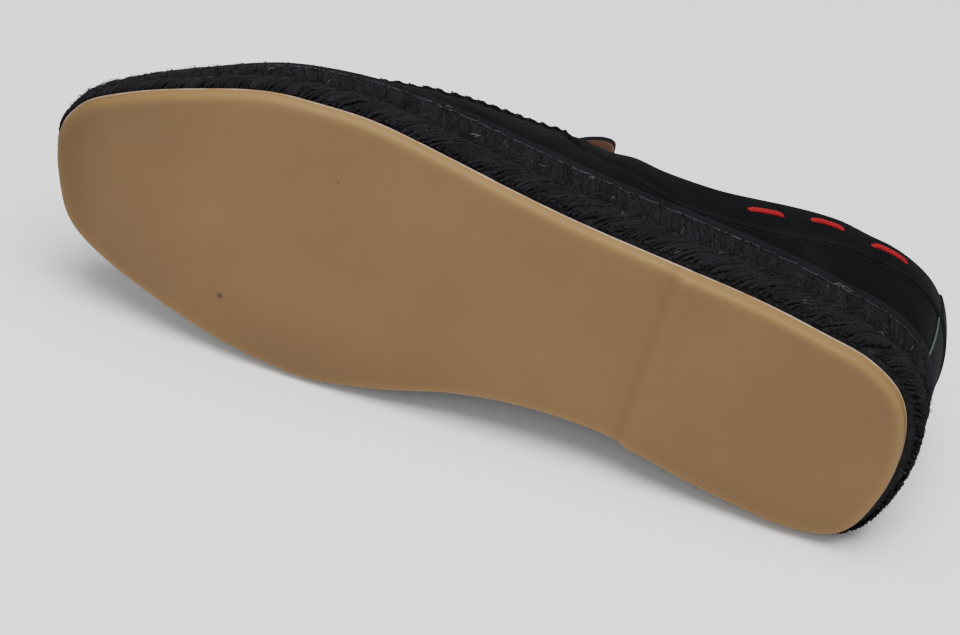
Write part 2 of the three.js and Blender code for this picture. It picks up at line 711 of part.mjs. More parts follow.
const rubber = { color: 0xb08a5a, roughness: 0.55, density: rubberDensity };
const jute = { color: 0x16161a, roughness: 0.95, density: fabricDensity };
const suede = { color: 0x111114, roughness: 0.9, density: leatherDensity };
const lining = { color: 0xa9773f, roughness: 0.6, density: leatherDensity };
const cord = { color: 0xb3202a, roughness: 0.8, density: fabricDensity };

const shoe = new THREE.Group();
const pieces = [];
function add(name, geometry, { color, roughness, density }) {
  pieces.push({ geometry, density });
  const mesh = new THREE.Mesh(geometry, new THREE.MeshStandardMaterial({ color, roughness, metalness: 0 }));
  mesh.name = name;
  shoe.add(mesh);
}

let upper = toSolid(upperShell());
for (const side of [1, -1]) {
  const sideName = side > 0 ? 'outer' : 'inner';
  laceDashes.forEach((dash, i) => {
    const channel = cordGeometry(dashLine(dash, side, gap), laceDiameter + 2 * gap, 5);
    upper = upper.subtract(toSolid(channel));
    add(`lace_dash_${sideName}_${i + 1}`, cordGeometry(dashLine(dash, side, 0), laceDiameter, 4), cord);
  });
  add(`lace_bar_${sideName}`, barGeometry(side), cord);
}
add('outsole', outsoleGeometry(), rubber);
add('midsole', midsoleGeometry(), jute);
add('insole', insoleGeometry(), lining);
add('upper', toGeometry(upper), suede);
add('tongue', tongueGeometry(), suede);

// The shoe comes to rest on the face of its hull that lies under its centre of mass, on its inner side.
function restingFace() {
  const hull = new ConvexHull().setFromPoints(pieces.flatMap(({ geometry }) => cornersOf(geometry)));
  const { centre } = weigh(pieces);
  const under = hull.faces.filter(({ normal, midpoint, edge }) => {
    const foot = centre.clone().addScaledVector(normal, normal.dot(midpoint) - normal.dot(centre));
    const corners = [edge, edge.next, edge.prev].map((side) => side.head().point);
    return new THREE.Triangle(...corners).containsPoint(foot);
  });
  return under.sort((a, b) => a.normal.y - b.normal.y)[0];
}
const floor = restingFace();
const down = floor.normal;
const knotRoom = down.dot(floor.midpoint) - down.dot(knotMiddle);

// Laid down there, the toe points to -x and the tread to -y, and the origin is under the middle of its box.
const right = new THREE.Vector3(-1, 0, 0).projectOnPlane(down).normalize();
const over = down.clone().negate();
const turned = new THREE.Matrix4().makeBasis(right, over.clone().cross(right), over).transpose();
const box = new THREE.Box3();
for (const { geometry } of pieces) {
  for (const corner of cornersOf(geometry)) box.expandByPoint(corner.applyMatrix4(turned));
}
const middle = box.getCenter(new THREE.Vector3());
shoe.quaternion.setFromRotationMatrix(turned);
shoe.position.set(-middle.x, -middle.y, -box.min.z);

// The lace's knot, and its ends with their tassels
add('lace_knot', knotGeometry(), cord);
for (const [sideName, way] of [['outer', outerWay], ['inner', hangingWay(down, knotRoom)]]) {
  add(`lace_end_${sideName}`, endGeometry(way), cord);
  add(`tassel_${sideName}`, tasselGeometry(way), suede);
}

export default shoe;
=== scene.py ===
import bisect
import json
import math
import random

import bpy
from mathutils import Matrix, Vector, noise


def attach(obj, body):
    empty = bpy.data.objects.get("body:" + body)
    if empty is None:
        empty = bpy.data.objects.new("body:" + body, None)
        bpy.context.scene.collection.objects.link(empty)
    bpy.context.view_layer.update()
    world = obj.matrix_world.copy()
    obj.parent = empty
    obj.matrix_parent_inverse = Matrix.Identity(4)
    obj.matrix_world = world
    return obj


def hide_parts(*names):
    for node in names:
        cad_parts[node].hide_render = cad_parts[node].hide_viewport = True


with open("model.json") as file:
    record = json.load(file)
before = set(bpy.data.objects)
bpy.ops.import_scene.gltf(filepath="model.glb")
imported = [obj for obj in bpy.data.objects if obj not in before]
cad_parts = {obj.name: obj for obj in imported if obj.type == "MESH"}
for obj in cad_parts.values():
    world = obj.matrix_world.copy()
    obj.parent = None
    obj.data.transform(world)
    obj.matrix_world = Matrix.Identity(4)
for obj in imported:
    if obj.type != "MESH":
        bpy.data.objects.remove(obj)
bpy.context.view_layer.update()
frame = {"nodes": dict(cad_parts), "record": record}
print("frame loaded:", len(frame["nodes"]), "nodes")

mm = 0.001

# The shoe's own axes come from the heel's tread: toeAxis from the heel's back to the toe, outAxis to the
# little toe's side and upAxis up from the tread. Everything below is laid out there in millimetres.
treadMount = frame["record"]["mounts"][0]
treadPlace = 42  # the middle of the heel's tread, from the heel's back
upAxis = -Vector(treadMount["axis"])
toeAxis = Vector((upAxis.z, 0, -upAxis.x)).normalized()
outAxis = upAxis.cross(toeAxis)
heelPoint = Vector(treadMount["pos_m"]) - treadPlace * mm * toeAxis


def place(p):
    return heelPoint + mm * (p[0] * toeAxis + p[1] * outAxis + p[2] * upAxis)


def direction(p):
    return p[0] * toeAxis + p[1] * outAxis + p[2] * upAxis


# The sizes of the last and the sole, as the solids have them
shoe = {
    "length": 293, "ballWidth": 107, "gap": 0.3,
    "rubber": 4, "heelLift": 1.3, "breast": 84, "breastBevel": 3, "waistEnd": 0.6,
    "toeSpring": 5.5, "springStart": 0.72, "springPower": 1.8,
    "rope": 23.7, "ropeProud": 3, "ropeLean": 2.4, "leanStart": 0.3, "leanFade": 0.3,
    "wall": 2, "collarRise": 42.3, "instepRise": 60, "toeRise": 22,
    "heelForward": 20, "heelForwardEnd": 0.34, "throat": 145,
    "feather": 1.2, "band": 20, "bandFloor": 2.4, "bandRaise": 1, "bandEnd": 21, "bandFade": 12,
    "counter": 5, "counterRaise": 0.7, "seamHeight": 1.4, "seamWidth": 3.2, "seamStart": 19, "seamFade": 8,
    "apronFront": 254,
    "knotPlace": 157, "knotLength": 11, "knotWidth": 7, "knotHeight": 6, "eyeletPlace": 150, "eyeletSide": 13,
    "laceDiameter": 2.2, "laceDash": 11.5, "laceDashes": [(23.5, 6.6), (46, 7.1), (67, 8.8)], "laceEnd": 9,
}
outlineTable = {
    "at": [0, .006, .018, .036, .077, .12, .2, .284, .33, .408, .49, .573, .655, .72, .78, .862, .945, .975,
           .992, 1],
    "outer": [-.047, .085, .172, .231, .293, .317, .353, .372, .381, .4, .432, .471, .5, .493, .467, .373,
              .244, .18, .11, .03],
    "inner": [-.047, -.197, -.304, -.364, -.399, -.4, -.372, -.328, -.31, -.316, -.36, -.447, -.506, -.5,
              -.474, -.41, -.316, -.24, -.115, .03],
    "rope": [1, 1, 1, 1, 1, 1, 1, 1, 1, 1, 1, .96, .86, .8, .68, .53, .41, .36, .33, .32],
    "proud": [1.5, 1.5, 1.4, 1.3, 1.15, 1.05, 1, 1, 1, .9, .75, .6, .5, .4, .35, .25, .15, .1, .1, .1],
}
lastTable = {
    "at": [0, .06, .15, .3, .41, .475, .52, .6, .66, .74, .8, .86, .92, .96, .985, 1],
    "instep": [1.27, 1.27, 1.27, 1.2, 1.08, .99, .9, .62, .42, .2, .08, 0, 0, 0, 0, 0],
    "toe": [0, 0, 0, 0, 0, 0, 0, .26, .46, .78, .94, 1, .84, .62, .38, 0],
    "side": [-.047, -.045, -.03, .02, .01, 0, -.01, -.025, -.03, -.03, -.025, -.01, .005, .015, .025, .03],
    "bulge": [3.2, 1.8, .4, -.5, -.8, 0, 0, 0, -1.2, -2.5, -3, -3.5, -3.5, -3, -2, 0],
    "steep": [.42, .42, .45, .38, .34, .34, .36, .42, .38, .36, .4, .42, .42, .44, .46, .5],
    "full": [.66, .66, .64, .5, .42, .4, .42, .46, .46, .5, .52, .55, .58, .6, .6, .6],
}
toplineTable = {
    "at": [0, .06, .1, .15, .21, .265, .31, .355, .4, 1],
    "height": [.955, .955, .93, .955, .785, .612, .538, .565, .69, .7],
}
throatCurve = 0.41
throatSteep = 2.3
bandTable = {
    "at": [0, .07, .12, .16, .21, .27, .33, .4, .45, .5],
    "width": [.65, .71, .8, .94, 1, .9, .9, .82, .72, .62],
}
seamTable = {
    "at": [.45, .495, .55, .61, .67, .74, .79, .835, .867],
    "climb": [.45, .42, .35, .3, .3, .38, .52, .74, .93],
}
ropeTable = {
    "at": [0, .07, .24, .41, .49, .57, .76, .94, 1],
    "in": [2.2, .66, 0, .39, 1.3, .39, 0, .55, 1.76],
}


def clamp(t):
    return min(max(t, 0), 1)


def mix(a, b, t):
    return a + (b - a) * t


def ease(t):
    t = clamp(t)
    return t * t * (3 - 2 * t)


def shareOf(turn):
    return (1 - math.cos(math.pi * turn)) / 2


def turnOf(share):
    return math.acos(1 - 2 * clamp(share)) / math.pi


def column(table, name, share):  # a smooth curve through one row of a table
    at, values = table["at"], table[name]
    last = len(at) - 1
    i = min(max(bisect.bisect_left(at, share) - 1, 0), last - 1)

    def slope(k):
        low, high = max(k - 1, 0), min(k + 1, last)
        return (values[high] - values[low]) / (turnOf(at[high]) - turnOf(at[low]))

    start = turnOf(at[i])
    span = turnOf(at[i + 1]) - start
    t = clamp((turnOf(share) - start) / span)
    return ((2 * t ** 3 - 3 * t ** 2 + 1) * values[i] + (t ** 3 - 2 * t ** 2 + t) * span * slope(i)
            + (3 * t ** 2 - 2 * t ** 3) * values[i + 1] + (t ** 3 - t ** 2) * span * slope(i + 1))


def waistLine(share):
    breast = shoe["breast"] / shoe["length"]
    dropped = shoe["heelLift"] * (1 - ease((share - breast) / (shoe["waistEnd"] - breast)))
    sprung = max(0, (share - shoe["springStart"]) / (1 - shoe["springStart"]))
    return dropped + shoe["toeSpring"] * sprung ** shoe["springPower"]


def rubberTop(share):
    return waistLine(share) + shoe["rubber"]


def ropeFoot(share):
    return rubberTop(share) + shoe["gap"]


def ropeTop(share):
    return rubberTop(share) + shoe["rope"] * column(outlineTable, "rope", share)


def treadLine(turn):
    share = shareOf(turn)
    past = clamp((shoe["length"] * share - shoe["breast"]) / shoe["breastBevel"])
    return waistLine(share) - shoe["heelLift"] * (1 - past)


def outlineEdge(turn, side):
    share = shareOf(turn)
    width = column(outlineTable, "outer" if side > 0 else "inner", share)
    return Vector((shoe["length"] * share, shoe["ballWidth"] * width))


def outlinePoint(turn, side, grow):  # a point of the sole's outline, pushed out by grow
    here = outlineEdge(turn, side)
    if turn <= 0 or turn >= 1:
        return here + Vector((-grow if turn <= 0 else grow, 0))
    step = min(0.004, turn, 1 - turn)
    along = (outlineEdge(turn + step, side) - outlineEdge(turn - step, side)).normalized()
    return here + Vector((-along.y, along.x)) * side * grow


def ropeEdge(share):
    return shoe["ropeProud"] * column(outlineTable, "proud", share)


def sectionCurve(turn, side, inset):
    # the last's cross-section on one side, from the wall's foot to the crown
    share = shareOf(turn)
    reach = ropeEdge(share) - shoe["feather"] - inset
    foot = outlinePoint(turn, side, reach)
    swollen = outlinePoint(turn, side, reach + column(lastTable, "bulge", share) * shoe["wall"])
    opposite = outlinePoint(turn, -side, reach)
    base = ropeTop(share) + shoe["gap"]
    rise = (shoe["instepRise"] * column(lastTable, "instep", share)
            + shoe["toeRise"] * column(lastTable, "toe", share))
    top = base + rise - inset * min(1, rise / (0.5 * shoe["toeRise"]))
    forward = shoe["heelForward"] * (1 - ease(share / shoe["heelForwardEnd"]))
    sideways = shoe["ballWidth"] * column(lastTable, "side", share)
    crown = Vector(((foot.x + opposite.x) / 2 + forward, sideways, top))
    turning = Vector((foot.x, foot.y, top)).lerp(crown, 1 - column(lastTable, "full", share))
    rising = Vector((swollen.x, swollen.y, mix(base, top, column(lastTable, "steep", share))))
    return [Vector((foot.x, foot.y, base)), rising, turning, crown]


def onCurve(curve, t):
    a, b, c, d = curve
    return a * (1 - t) ** 3 + b * 3 * t * (1 - t) ** 2 + c * 3 * t * t * (1 - t) + d * t ** 3


def curveLength(curve):
    points = [onCurve(curve, i / 40) for i in range(41)]
    return sum((points[i + 1] - points[i]).length for i in range(40))


def alongCurve(curve, share):  # the point at a share of the curve's length
    points = [onCurve(curve, i / 60) for i in range(61)]
    lengths = [0]
    for i in range(60):
        lengths.append(lengths[-1] + (points[i + 1] - points[i]).length)
    goal = clamp(share) * lengths[-1]
    i = min(max(bisect.bisect_left(lengths, goal) - 1, 0), 59)
    part = (goal - lengths[i]) / (lengths[i + 1] - lengths[i])
    return onCurve(curve, (i + part) / 60)


throatShare = shoe["throat"] / shoe["length"]
throatTurn = turnOf(throatShare)
throatHeight = sectionCurve(throatTurn, 1, 0)[3].z


def toplineHeight(x):
    share = x / shoe["length"]
    low = ropeTop(clamp(share)) + shoe["collarRise"] * column(toplineTable, "height", share)
    climb = clamp((share - throatCurve) / (throatShare - throatCurve))
    return mix(low, throatHeight, climb ** throatSteep)


def topClimb(curve, turn):  # how far up a section its wall goes
    if turn >= throatTurn:
        return 1
    low, high = 0, 1
    for _ in range(24):
        t = (low + high) / 2
        p = onCurve(curve, t)
        if p.z < toplineHeight(p.x):
            low = t
        else:
            high = t
    return low


def seamClimb(turn):
    return column(seamTable, "climb", shareOf(turn))


def wallFacts(turn, side):  # what the collar, the seams and the threads on one section of the wall need
    curve = sectionCurve(turn, side, 0)
    length = max(curveLength(curve), shoe["toeRise"])
    top = topClimb(curve, turn)
    line = seamClimb(turn)
    if turn < throatTurn:
        wide = shoe["band"] * column(bandTable, "width", shareOf(turn))
        line = min(line, max(top - wide / length, shoe["bandFloor"] / length))
    return {"curve": curve, "length": length, "top": top, "line": line, "x": shoe["length"] * shareOf(turn)}


# The way round the sole's edge, from the heel's back along the outer side to the toe and back along the inner
lapSteps = [(i / 400, 1) for i in range(401)] + [(1 - i / 400, -1) for i in range(401)]
lapLengths = [0.0]
for stepIndex in range(len(lapSteps) - 1):
    lapEnds = [outlinePoint(*lapSteps[stepIndex + k], 2) for k in (0, 1)]
    lapLengths.append(lapLengths[-1] + (lapEnds[1] - lapEnds[0]).length)
lapTotal = lapLengths[-1]


def around(lap):
    lap = lap % lapTotal
    i = min(max(bisect.bisect_right(lapLengths, lap) - 1, 0), len(lapSteps) - 2)
    span = lapLengths[i + 1] - lapLengths[i]
    part = (lap - lapLengths[i]) / span if span > 0 else 0
    return mix(lapSteps[i][0], lapSteps[i + 1][0], part), lapSteps[i + 1][1] if part > 0 else lapSteps[i][1]


def ropeLean(turn, side, up):  # the inner side of the rope leans in towards its top
    if side > 0:
        return 0
    leaned = shoe["ropeLean"] * ease((up - shoe["leanStart"]) / shoe["leanFade"])
    return leaned * math.sin(math.pi * turn) ** 0.5


def ropePoint(lap, up, out):  # on the side of the rope sole, out beyond its face
    turn, side = around(lap)
    share = shareOf(turn)
    face = ropeEdge(share) - column(ropeTable, "in", clamp(up)) - ropeLean(turn, side, up)
    p = outlinePoint(turn, side, face + out)
    return Vector((p.x, p.y, mix(ropeFoot(share), ropeTop(share), up)))


def wallPoint(lap, high, out):  # on the upper's outer face, high millimetres up from its foot
    turn, side = around(lap)
    curve = sectionCurve(turn, side, -out)
    return onCurve(curve, clamp(high / curveLength(curve)))


# A shape collects a mesh's points and faces, a place on the surface for each face corner (uv), a tone for
# each point and a material slot for each face.
def newShape():
    return {"points": [], "faces": [], "uv": [], "tone": [], "slots": []}


def layTube(shape, path, lift, width, depth, sides=8, twist=0.0, lobes=0, lobe=0.0, taper=0.0, tone=0.5):
    start = len(shape["points"])
    lifts = lift if isinstance(lift, list) else [lift] * len(path)
    runs = [0]
    for i, point in enumerate(path):
        along = (path[min(i + 1, len(path) - 1)] - path[max(i - 1, 0)]).normalized()
        across = along.cross(lifts[i]).normalized()
        upward = across.cross(along)
        if i:
            runs.append(runs[-1] + (point - path[i - 1]).length)
        size = 1 - taper * abs(2 * i / (len(path) - 1) - 1) ** 4
        for k in range(sides):
            angle = 2 * math.pi * k / sides
            turned = angle + 2 * math.pi * twist * runs[-1]
            r = size * (1 + lobe * math.cos(lobes * angle))
            shape["points"].append(
                point + r * (width / 2 * math.cos(turned) * across + depth / 2 * math.sin(turned) * upward))
            shape["tone"].append(tone)
    for i in range(len(path) - 1):
        for k in range(sides):
            a, b = start + i * sides, start + (i + 1) * sides
            n = (k + 1) % sides
            shape["faces"].append((a + k, b + k, b + n, a + n))
            shape["uv"].append([(k / sides, runs[i]), (k / sides, runs[i + 1]),
                                ((k + 1) / sides, runs[i + 1]), ((k + 1) / sides, runs[i])])
            shape["slots"].append(0)
    for ring, turned in ((0, False), (len(path) - 1, True)):
        face = [start + ring * sides + k for k in range(sides)]
        shape["faces"].append(tuple(reversed(face)) if turned else tuple(face))
        shape["uv"].append([(0.5, runs[ring])] * sides)
        shape["slots"].append(0)


def layGrid(shape, rows, slot=0, flip=False, tones=None):
    start = len(shape["points"])
    width = len(rows[0])
    for i, row in enumerate(rows):
        shape["points"].extend(row)
        shape["tone"].extend(tones[i] if tones else [0.5] * width)
    for i in range(len(rows) - 1):
        for j in range(width - 1):
            a = start + i * width + j
            face = [a, a + 1, a + width + 1, a + width]
            uv = [(j, i), (j + 1, i), (j + 1, i + 1), (j, i + 1)]
            if flip:
                face.reverse()
                uv.reverse()
            shape["faces"].append(tuple(face))
            shape["uv"].append(uv)
            shape["slots"].append(slot)


floorClear = 0.1


def makePiece(name, shape, materials, stands=(), merge=False, smooth=50):
    mesh = bpy.data.meshes.new(name)
    points = [place(p) for p in shape["points"]]
    for point in points:
        point.z = max(point.z, floorClear * mm)  # what touches the floor is pressed flat there
    mesh.from_pydata(points, [], shape["faces"])
    tone = mesh.attributes.new("tone", "FLOAT", "POINT")
    tone.data.foreach_set("value", shape["tone"])
    layer = mesh.uv_layers.new(name="run")
    layer.data.foreach_set("uv", [v for corners in shape["uv"] for corner in corners for v in corner])
    for material in materials:
        mesh.materials.append(material)
    mesh.polygons.foreach_set("material_index", shape["slots"])
    piece = bpy.data.objects.new(name, mesh)
    bpy.context.scene.collection.objects.link(piece)
    bpy.ops.object.select_all(action="DESELECT")
    bpy.context.view_layer.objects.active = piece
    piece.select_set(True)
    if merge:
        bpy.ops.object.mode_set(mode="EDIT")
        bpy.ops.mesh.select_all(action="SELECT")
        bpy.ops.mesh.remove_doubles(threshold=0.004 * mm)
        bpy.ops.mesh.dissolve_degenerate(threshold=0.002 * mm)
        bpy.ops.mesh.normals_make_consistent(inside=False)
        bpy.ops.object.mode_set(mode="OBJECT")
    bpy.ops.object.shade_smooth_by_angle(angle=math.radians(smooth))
    piece.select_set(False)
    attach(piece, "root")
    if stands:
        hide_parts(*stands)
    print("made", name, len(mesh.polygons), "faces")
    return piece


def hexColour(text):
    def linear(v):
        return v / 12.92 if v <= 0.04045 else ((v + 0.055) / 1.055) ** 2.4
    return [linear(int(text[i:i + 2], 16) / 255) for i in (1, 3, 5)] + [1]


def addNode(tree, kind, settings=None, links=None):
    made = tree.nodes.new("ShaderNode" + kind)
    for name, value in (settings or {}).items():
        if name == "stops":
            ramp = made.color_ramp.elements
            while len(ramp) < len(value):
                ramp.new(0.5)
            for stop, (position, colour) in zip(ramp, value):
                stop.position, stop.color = position, colour
        elif isinstance(name, str) and hasattr(made, name):
            setattr(made, name, value)
        else:
            made.inputs[name].default_value = value
    for name, source in (links or {}).items():
        tree.links.new(source, made.inputs[name])
    return made


def newMaterial(name, settings):
    material = bpy.data.materials.new(name)
    material.use_nodes = True
    tree = material.node_tree
    tree.nodes.clear()
    shader = addNode(tree, "BsdfPrincipled", settings)
    addNode(tree, "OutputMaterial", links={"Surface": shader.outputs[0]})
    return material, tree, shader


def wire(tree, shader, sources):
    for name, node in sources.items():
        tree.links.new(node.outputs[0], shader.inputs[name])


def grey(value):
    return (value, value, value, 1)


# The camera stands where the photograph's did, seen from the shoe, and is rolled as it was.
cameraPlan = {"distance": 950, "tilt": 39, "yaw": -4, "roll": 160, "aim": (142.3, -3, 0), "lens": 110.08}


def makeCamera(plan):
    tilt, yaw, roll = (math.radians(plan[name]) for name in ("tilt", "yaw", "roll"))
    back = Vector((math.sin(yaw), math.cos(yaw) * math.sin(tilt), -math.cos(yaw) * math.cos(tilt)))
    level = (Vector((1, 0, 0)) - back.x * back).normalized()
    steep = back.cross(level)
    right = math.cos(roll) * level - math.sin(roll) * steep
    top = math.sin(roll) * level + math.cos(roll) * steep
    axes = [direction(v) for v in (right, top, back)]
    data = bpy.data.cameras.new("photoCamera")
    data.sensor_width, data.lens = 36, plan["lens"]
    data.clip_start, data.clip_end = 0.01, 20
    camera = bpy.data.objects.new("photoCamera", data)
    bpy.context.scene.collection.objects.link(camera)
    turned = Matrix([[axis[i] for axis in axes] for i in range(3)])
    standsAt = place(Vector(plan["aim"]) + plan["distance"] * back)
    camera.matrix_world = Matrix.Translation(standsAt) @ turned.to_4x4()
    bpy.context.scene.camera = camera


makeCamera(cameraPlan)

# Red lace: round cotton cord, dyed and tightly braided, so it is matt with a fine herringbone of plaits.
lace = {"colour": "#981420", "deep": "#4a0a10", "plait": 1.1, "sides": 16, "knotTurns": 3, "knotPitch": 2.5}


def makeLaceMaterial():
    material, tree, shader = newMaterial("braided cotton lace, red", {
        "Roughness": 0.85, "IOR": 1.5, "Specular IOR Level": 0.1, "Sheen Weight": 0.03})
    run = addNode(tree, "UVMap", {"uv_map": "run"})
    split = addNode(tree, "SeparateXYZ", links={0: run.outputs[0]})
    plaits = []
    for sign in (1, -1):  # two sets of plaits that cross
        crossing = addNode(tree, "Math", {"operation": "MULTIPLY", 1: 4.0 * sign}, {0: split.outputs[0]})
        down = addNode(tree, "Math", {"operation": "DIVIDE", 1: lace["plait"]}, {0: split.outputs[1]})
        total = addNode(tree, "Math", {"operation": "ADD"}, {0: crossing.outputs[0], 1: down.outputs[0]})
        wave = addNode(tree, "Math", {"operation": "PINGPONG", 1: 0.5}, {0: total.outputs[0]})
        plaits.append(wave.outputs[0])
    crossed = addNode(tree, "Math", {"operation": "MAXIMUM"}, {0: plaits[0], 1: plaits[1]})
    colours = addNode(tree, "ValToRGB", {"stops": [(0.1, hexColour(lace["deep"])),
                                                   (0.45, hexColour(lace["colour"]))]},
                      {0: crossed.outputs[0]})
    bump = addNode(tree, "Bump", {"Strength": 0.5, "Distance": 0.0004}, {"Height": crossed.outputs[0]})
    wire(tree, shader, {"Base Color": colours, "Normal": bump})
    return material


laceMaterial = makeLaceMaterial()


def onVamp(side, heading, forth, aside, raised):
    spot = shoe["knotPlace"] + math.cos(heading) * forth - math.sin(heading) * aside
    fromCrown = math.sin(heading) * forth + math.cos(heading) * aside
    curve = sectionCurve(turnOf(spot / shoe["length"]), -side if fromCrown < 0 else side, -raised)
    return alongCurve(curve, 1 - abs(fromCrown) / curveLength(curve))


knotRaise = shoe["knotHeight"] / 2 + 4 * shoe["gap"]
knotMiddle = onVamp(1, 0, 0, 0, knotRaise)


def knotReach(heading):
    return 2.4 * shoe["gap"] + 0.5 / math.hypot(math.cos(heading) / shoe["knotWidth"],
                                                math.sin(heading) / shoe["knotLength"])


# The tassels' sizes, as the solids have them
tassel = {"cap": 9, "capWidth": 9, "capHeight": 6.5, "strips": 11, "stripLength": 31, "thickness": 1.6,
          "spread": 17, "heading": 53.5, "pleats": 14, "seed": 5}
capStart = shoe["laceEnd"] + 2.5 * shoe["gap"]
skirtStart = capStart + 0.75 * tassel["cap"]
skirtLength = tassel["stripLength"] + 0.25 * tassel["cap"]
tasselSeat = shoe["seamHeight"] + shoe["gap"]
capRaise = tasselSeat + tassel["capHeight"] / 2


def outerWay(forth, aside, raised):
    heading = math.radians(tassel["heading"])
    return onVamp(1, heading, knotReach(heading) + forth, aside, raised)


hangStart = Vector((math.cos(math.pi / 4), -math.sin(math.pi / 4), 0))
hangDown = Vector([-axis.z for axis in (toeAxis, outAxis, upAxis)])  # straight down, in the shoe's axes
hangReach = knotReach(math.pi / 4)
hangDrop = place(knotMiddle).z / mm - hangReach - 2 * tassel["thickness"]
hangFrom = knotMiddle + hangStart * hangReach
hangCorner = hangFrom + hangDown * hangDrop
hangCurve = [hangFrom, hangFrom + hangStart * shoe["laceEnd"] / 2, hangCorner,
             hangCorner + Vector((0, 0, 2 * (skirtStart + skirtLength - hangDrop)))]
hangLength = curveLength(hangCurve)


def innerWay(forth, aside, raised):  # the inner tassel hangs to the floor beside the shoe
    t = clamp(forth / hangLength)
    p = alongCurve(hangCurve, t)
    along = (alongCurve(hangCurve, t + 0.01) - alongCurve(hangCurve, t - 0.01)).normalized()
    lifted = along.cross(Vector((1, 0, 0))).normalized()
    return p + lifted * (raised - knotRaise) + lifted.cross(along) * aside


def smoothPath(points, count):
    # a smooth line through a few points, with its own points evenly spaced
    fine = []
    padded = [2 * points[0] - points[1], *points, 2 * points[-1] - points[-2]]
    for i in range(1, len(padded) - 2):
        a, b, c, d = padded[i - 1:i + 3]
        for k in range(24):
            t = k / 24
            fine.append(0.5 * (2 * b + (c - a) * t + (2 * a - 5 * b + 4 * c - d) * t * t
                               + (3 * b - a - 3 * c + d) * t ** 3))
    fine.append(points[-1])
    lengths = [0]
    for a, b in zip(fine, fine[1:]):
        lengths.append(lengths[-1] + (b - a).length)
    path = []
    for k in range(count):
        goal = lengths[-1] * k / (count - 1)
        i = min(max(bisect.bisect_left(lengths, goal) - 1, 0), len(fine) - 2)
        part = (goal - lengths[i]) / max(lengths[i + 1] - lengths[i], 1e-9)
        path.append(fine[i].lerp(fine[i + 1], part))
    return path


eyeletHeading = math.atan2(shoe["eyeletSide"], shoe["eyeletPlace"] - shoe["knotPlace"])
eyeletReach = math.hypot(shoe["eyeletSide"], shoe["eyeletPlace"] - shoe["knotPlace"])


def lacePath(side, way, lift):
    # from an eyelet on one side, through the knot, and on to the tassel on the other side
    bar = [onVamp(side, eyeletHeading, mix(eyeletReach, knotReach(eyeletHeading), t), 0,
                  mix(0.2, knotRaise, t ** 0.5)) for t in (0, 0.3, 0.65)]
    end = [way(t * shoe["laceEnd"], 0, mix(knotRaise, capRaise, t)) for t in (0.25, 0.65, 1)]
    last = way(capStart + 0.3 * tassel["cap"], 0, capRaise)
    return smoothPath([*bar, knotMiddle + Vector((0, 0, lift)), *end, last], 30)


for sideName, side, way, endNode, lift in (("outer", 1, innerWay, "inner", 1.15),
                                           ("inner", -1, outerWay, "outer", -1.15)):
    path = lacePath(side, way, lift)
    shape = newShape()
    layTube(shape, path, Vector((0.3, 0.1, 1)), shoe["laceDiameter"], shoe["laceDiameter"], lace["sides"])
    cord = makePiece("lace_" + sideName + "_eyelet", shape, [laceMaterial],
                     ["lace_bar_" + sideName, "lace_end_" + endNode], smooth=80)


def makeKnot():  # three turns of the lace round where its two halves cross
    wide = (shoe["knotWidth"] - shoe["laceDiameter"]) / 2
    high = (shoe["knotHeight"] - shoe["laceDiameter"]) / 2
    turns = lace["knotTurns"]
    steps = 18 * turns
    path = []
    for i in range(steps + 1):
        t = i / steps
        angle = 2 * math.pi * turns * t + math.pi
        grip = 1 - 0.45 * abs(2 * t - 1) ** 6
        path.append(knotMiddle + Vector((wide * grip * math.cos(angle), (t - 0.5) * turns * lace["knotPitch"],
                                         high * grip * math.sin(angle))))
    shape = newShape()
    layTube(shape, path, Vector((0, 1, 0)), shoe["laceDiameter"], shoe["laceDiameter"] * 1.1, lace["sides"])
    return makePiece("lace_knot_wraps", shape, [laceMaterial], ["lace_knot"], smooth=80)


knot = makeKnot()

# Suede: split leather with a buffed nap, dyed black. It takes in nearly all light and greys where the nap is
# brushed, over patches a few centimetres wide; the nap is drawn 0.7 mm coarse so that it shows.
suede = {"colour": "#0d0d0f", "brushed": "#1c1c20", "napSize": 0.7, "patchSize": 18}


def makeSuedeMaterial(name, colour, brushed):
    material, tree, shader = newMaterial(name, {"Roughness": 0.92, "IOR": 1.45, "Specular IOR Level": 0.02,
                                                "Sheen Weight": 0.02, "Sheen Roughness": 0.45})
    spot = addNode(tree, "TexCoord")
    nap = addNode(tree, "TexNoise", {"Scale": 1 / (suede["napSize"] * mm), "Detail": 3, "Roughness": 0.65},
                  {"Vector": spot.outputs["Object"]})
    patch = addNode(tree, "TexNoise", {"Scale": 1 / (suede["patchSize"] * mm), "Detail": 2},
                    {"Vector": spot.outputs["Object"]})
    both = addNode(tree, "Math", {"operation": "MULTIPLY_ADD", 1: 0.55},
                   {0: nap.outputs[0], 2: patch.outputs[0]})
    # the tone attribute paints a highlight along the upper's band step and seam ridge and shade along its
    # creases; on the tassels it differs at random
    tone = addNode(tree, "Attribute", {"attribute_name": "tone"})
    toneAndPaintedLight = addNode(tree, "Math", {"operation": "ADD"}, {0: both.outputs[0], 1: tone.outputs["Fac"]})
    level = addNode(tree, "Math", {"operation": "MULTIPLY", 1: 0.6}, {0: toneAndPaintedLight.outputs[0]})
    colours = addNode(tree, "ValToRGB", {"stops": [(0.45, hexColour(colour)), (1.0, hexColour(brushed))]},
                      {0: level.outputs[0]})
    bump = addNode(tree, "Bump", {"Strength": 0.6, "Distance": 0.00035}, {"Height": nap.outputs[0]})
    wire(tree, shader, {"Base Color": colours, "Normal": bump})
    return material


suedeMaterial = makeSuedeMaterial("napped suede, black", suede["colour"], suede["brushed"])
cutEdgeMaterial = makeSuedeMaterial("cut edge of suede, grey", "#2e2e33", "#4c4b51")
stayEdgeMaterial = makeSuedeMaterial("cut edge of suede, grey green", "#2d3635", "#4b5654")


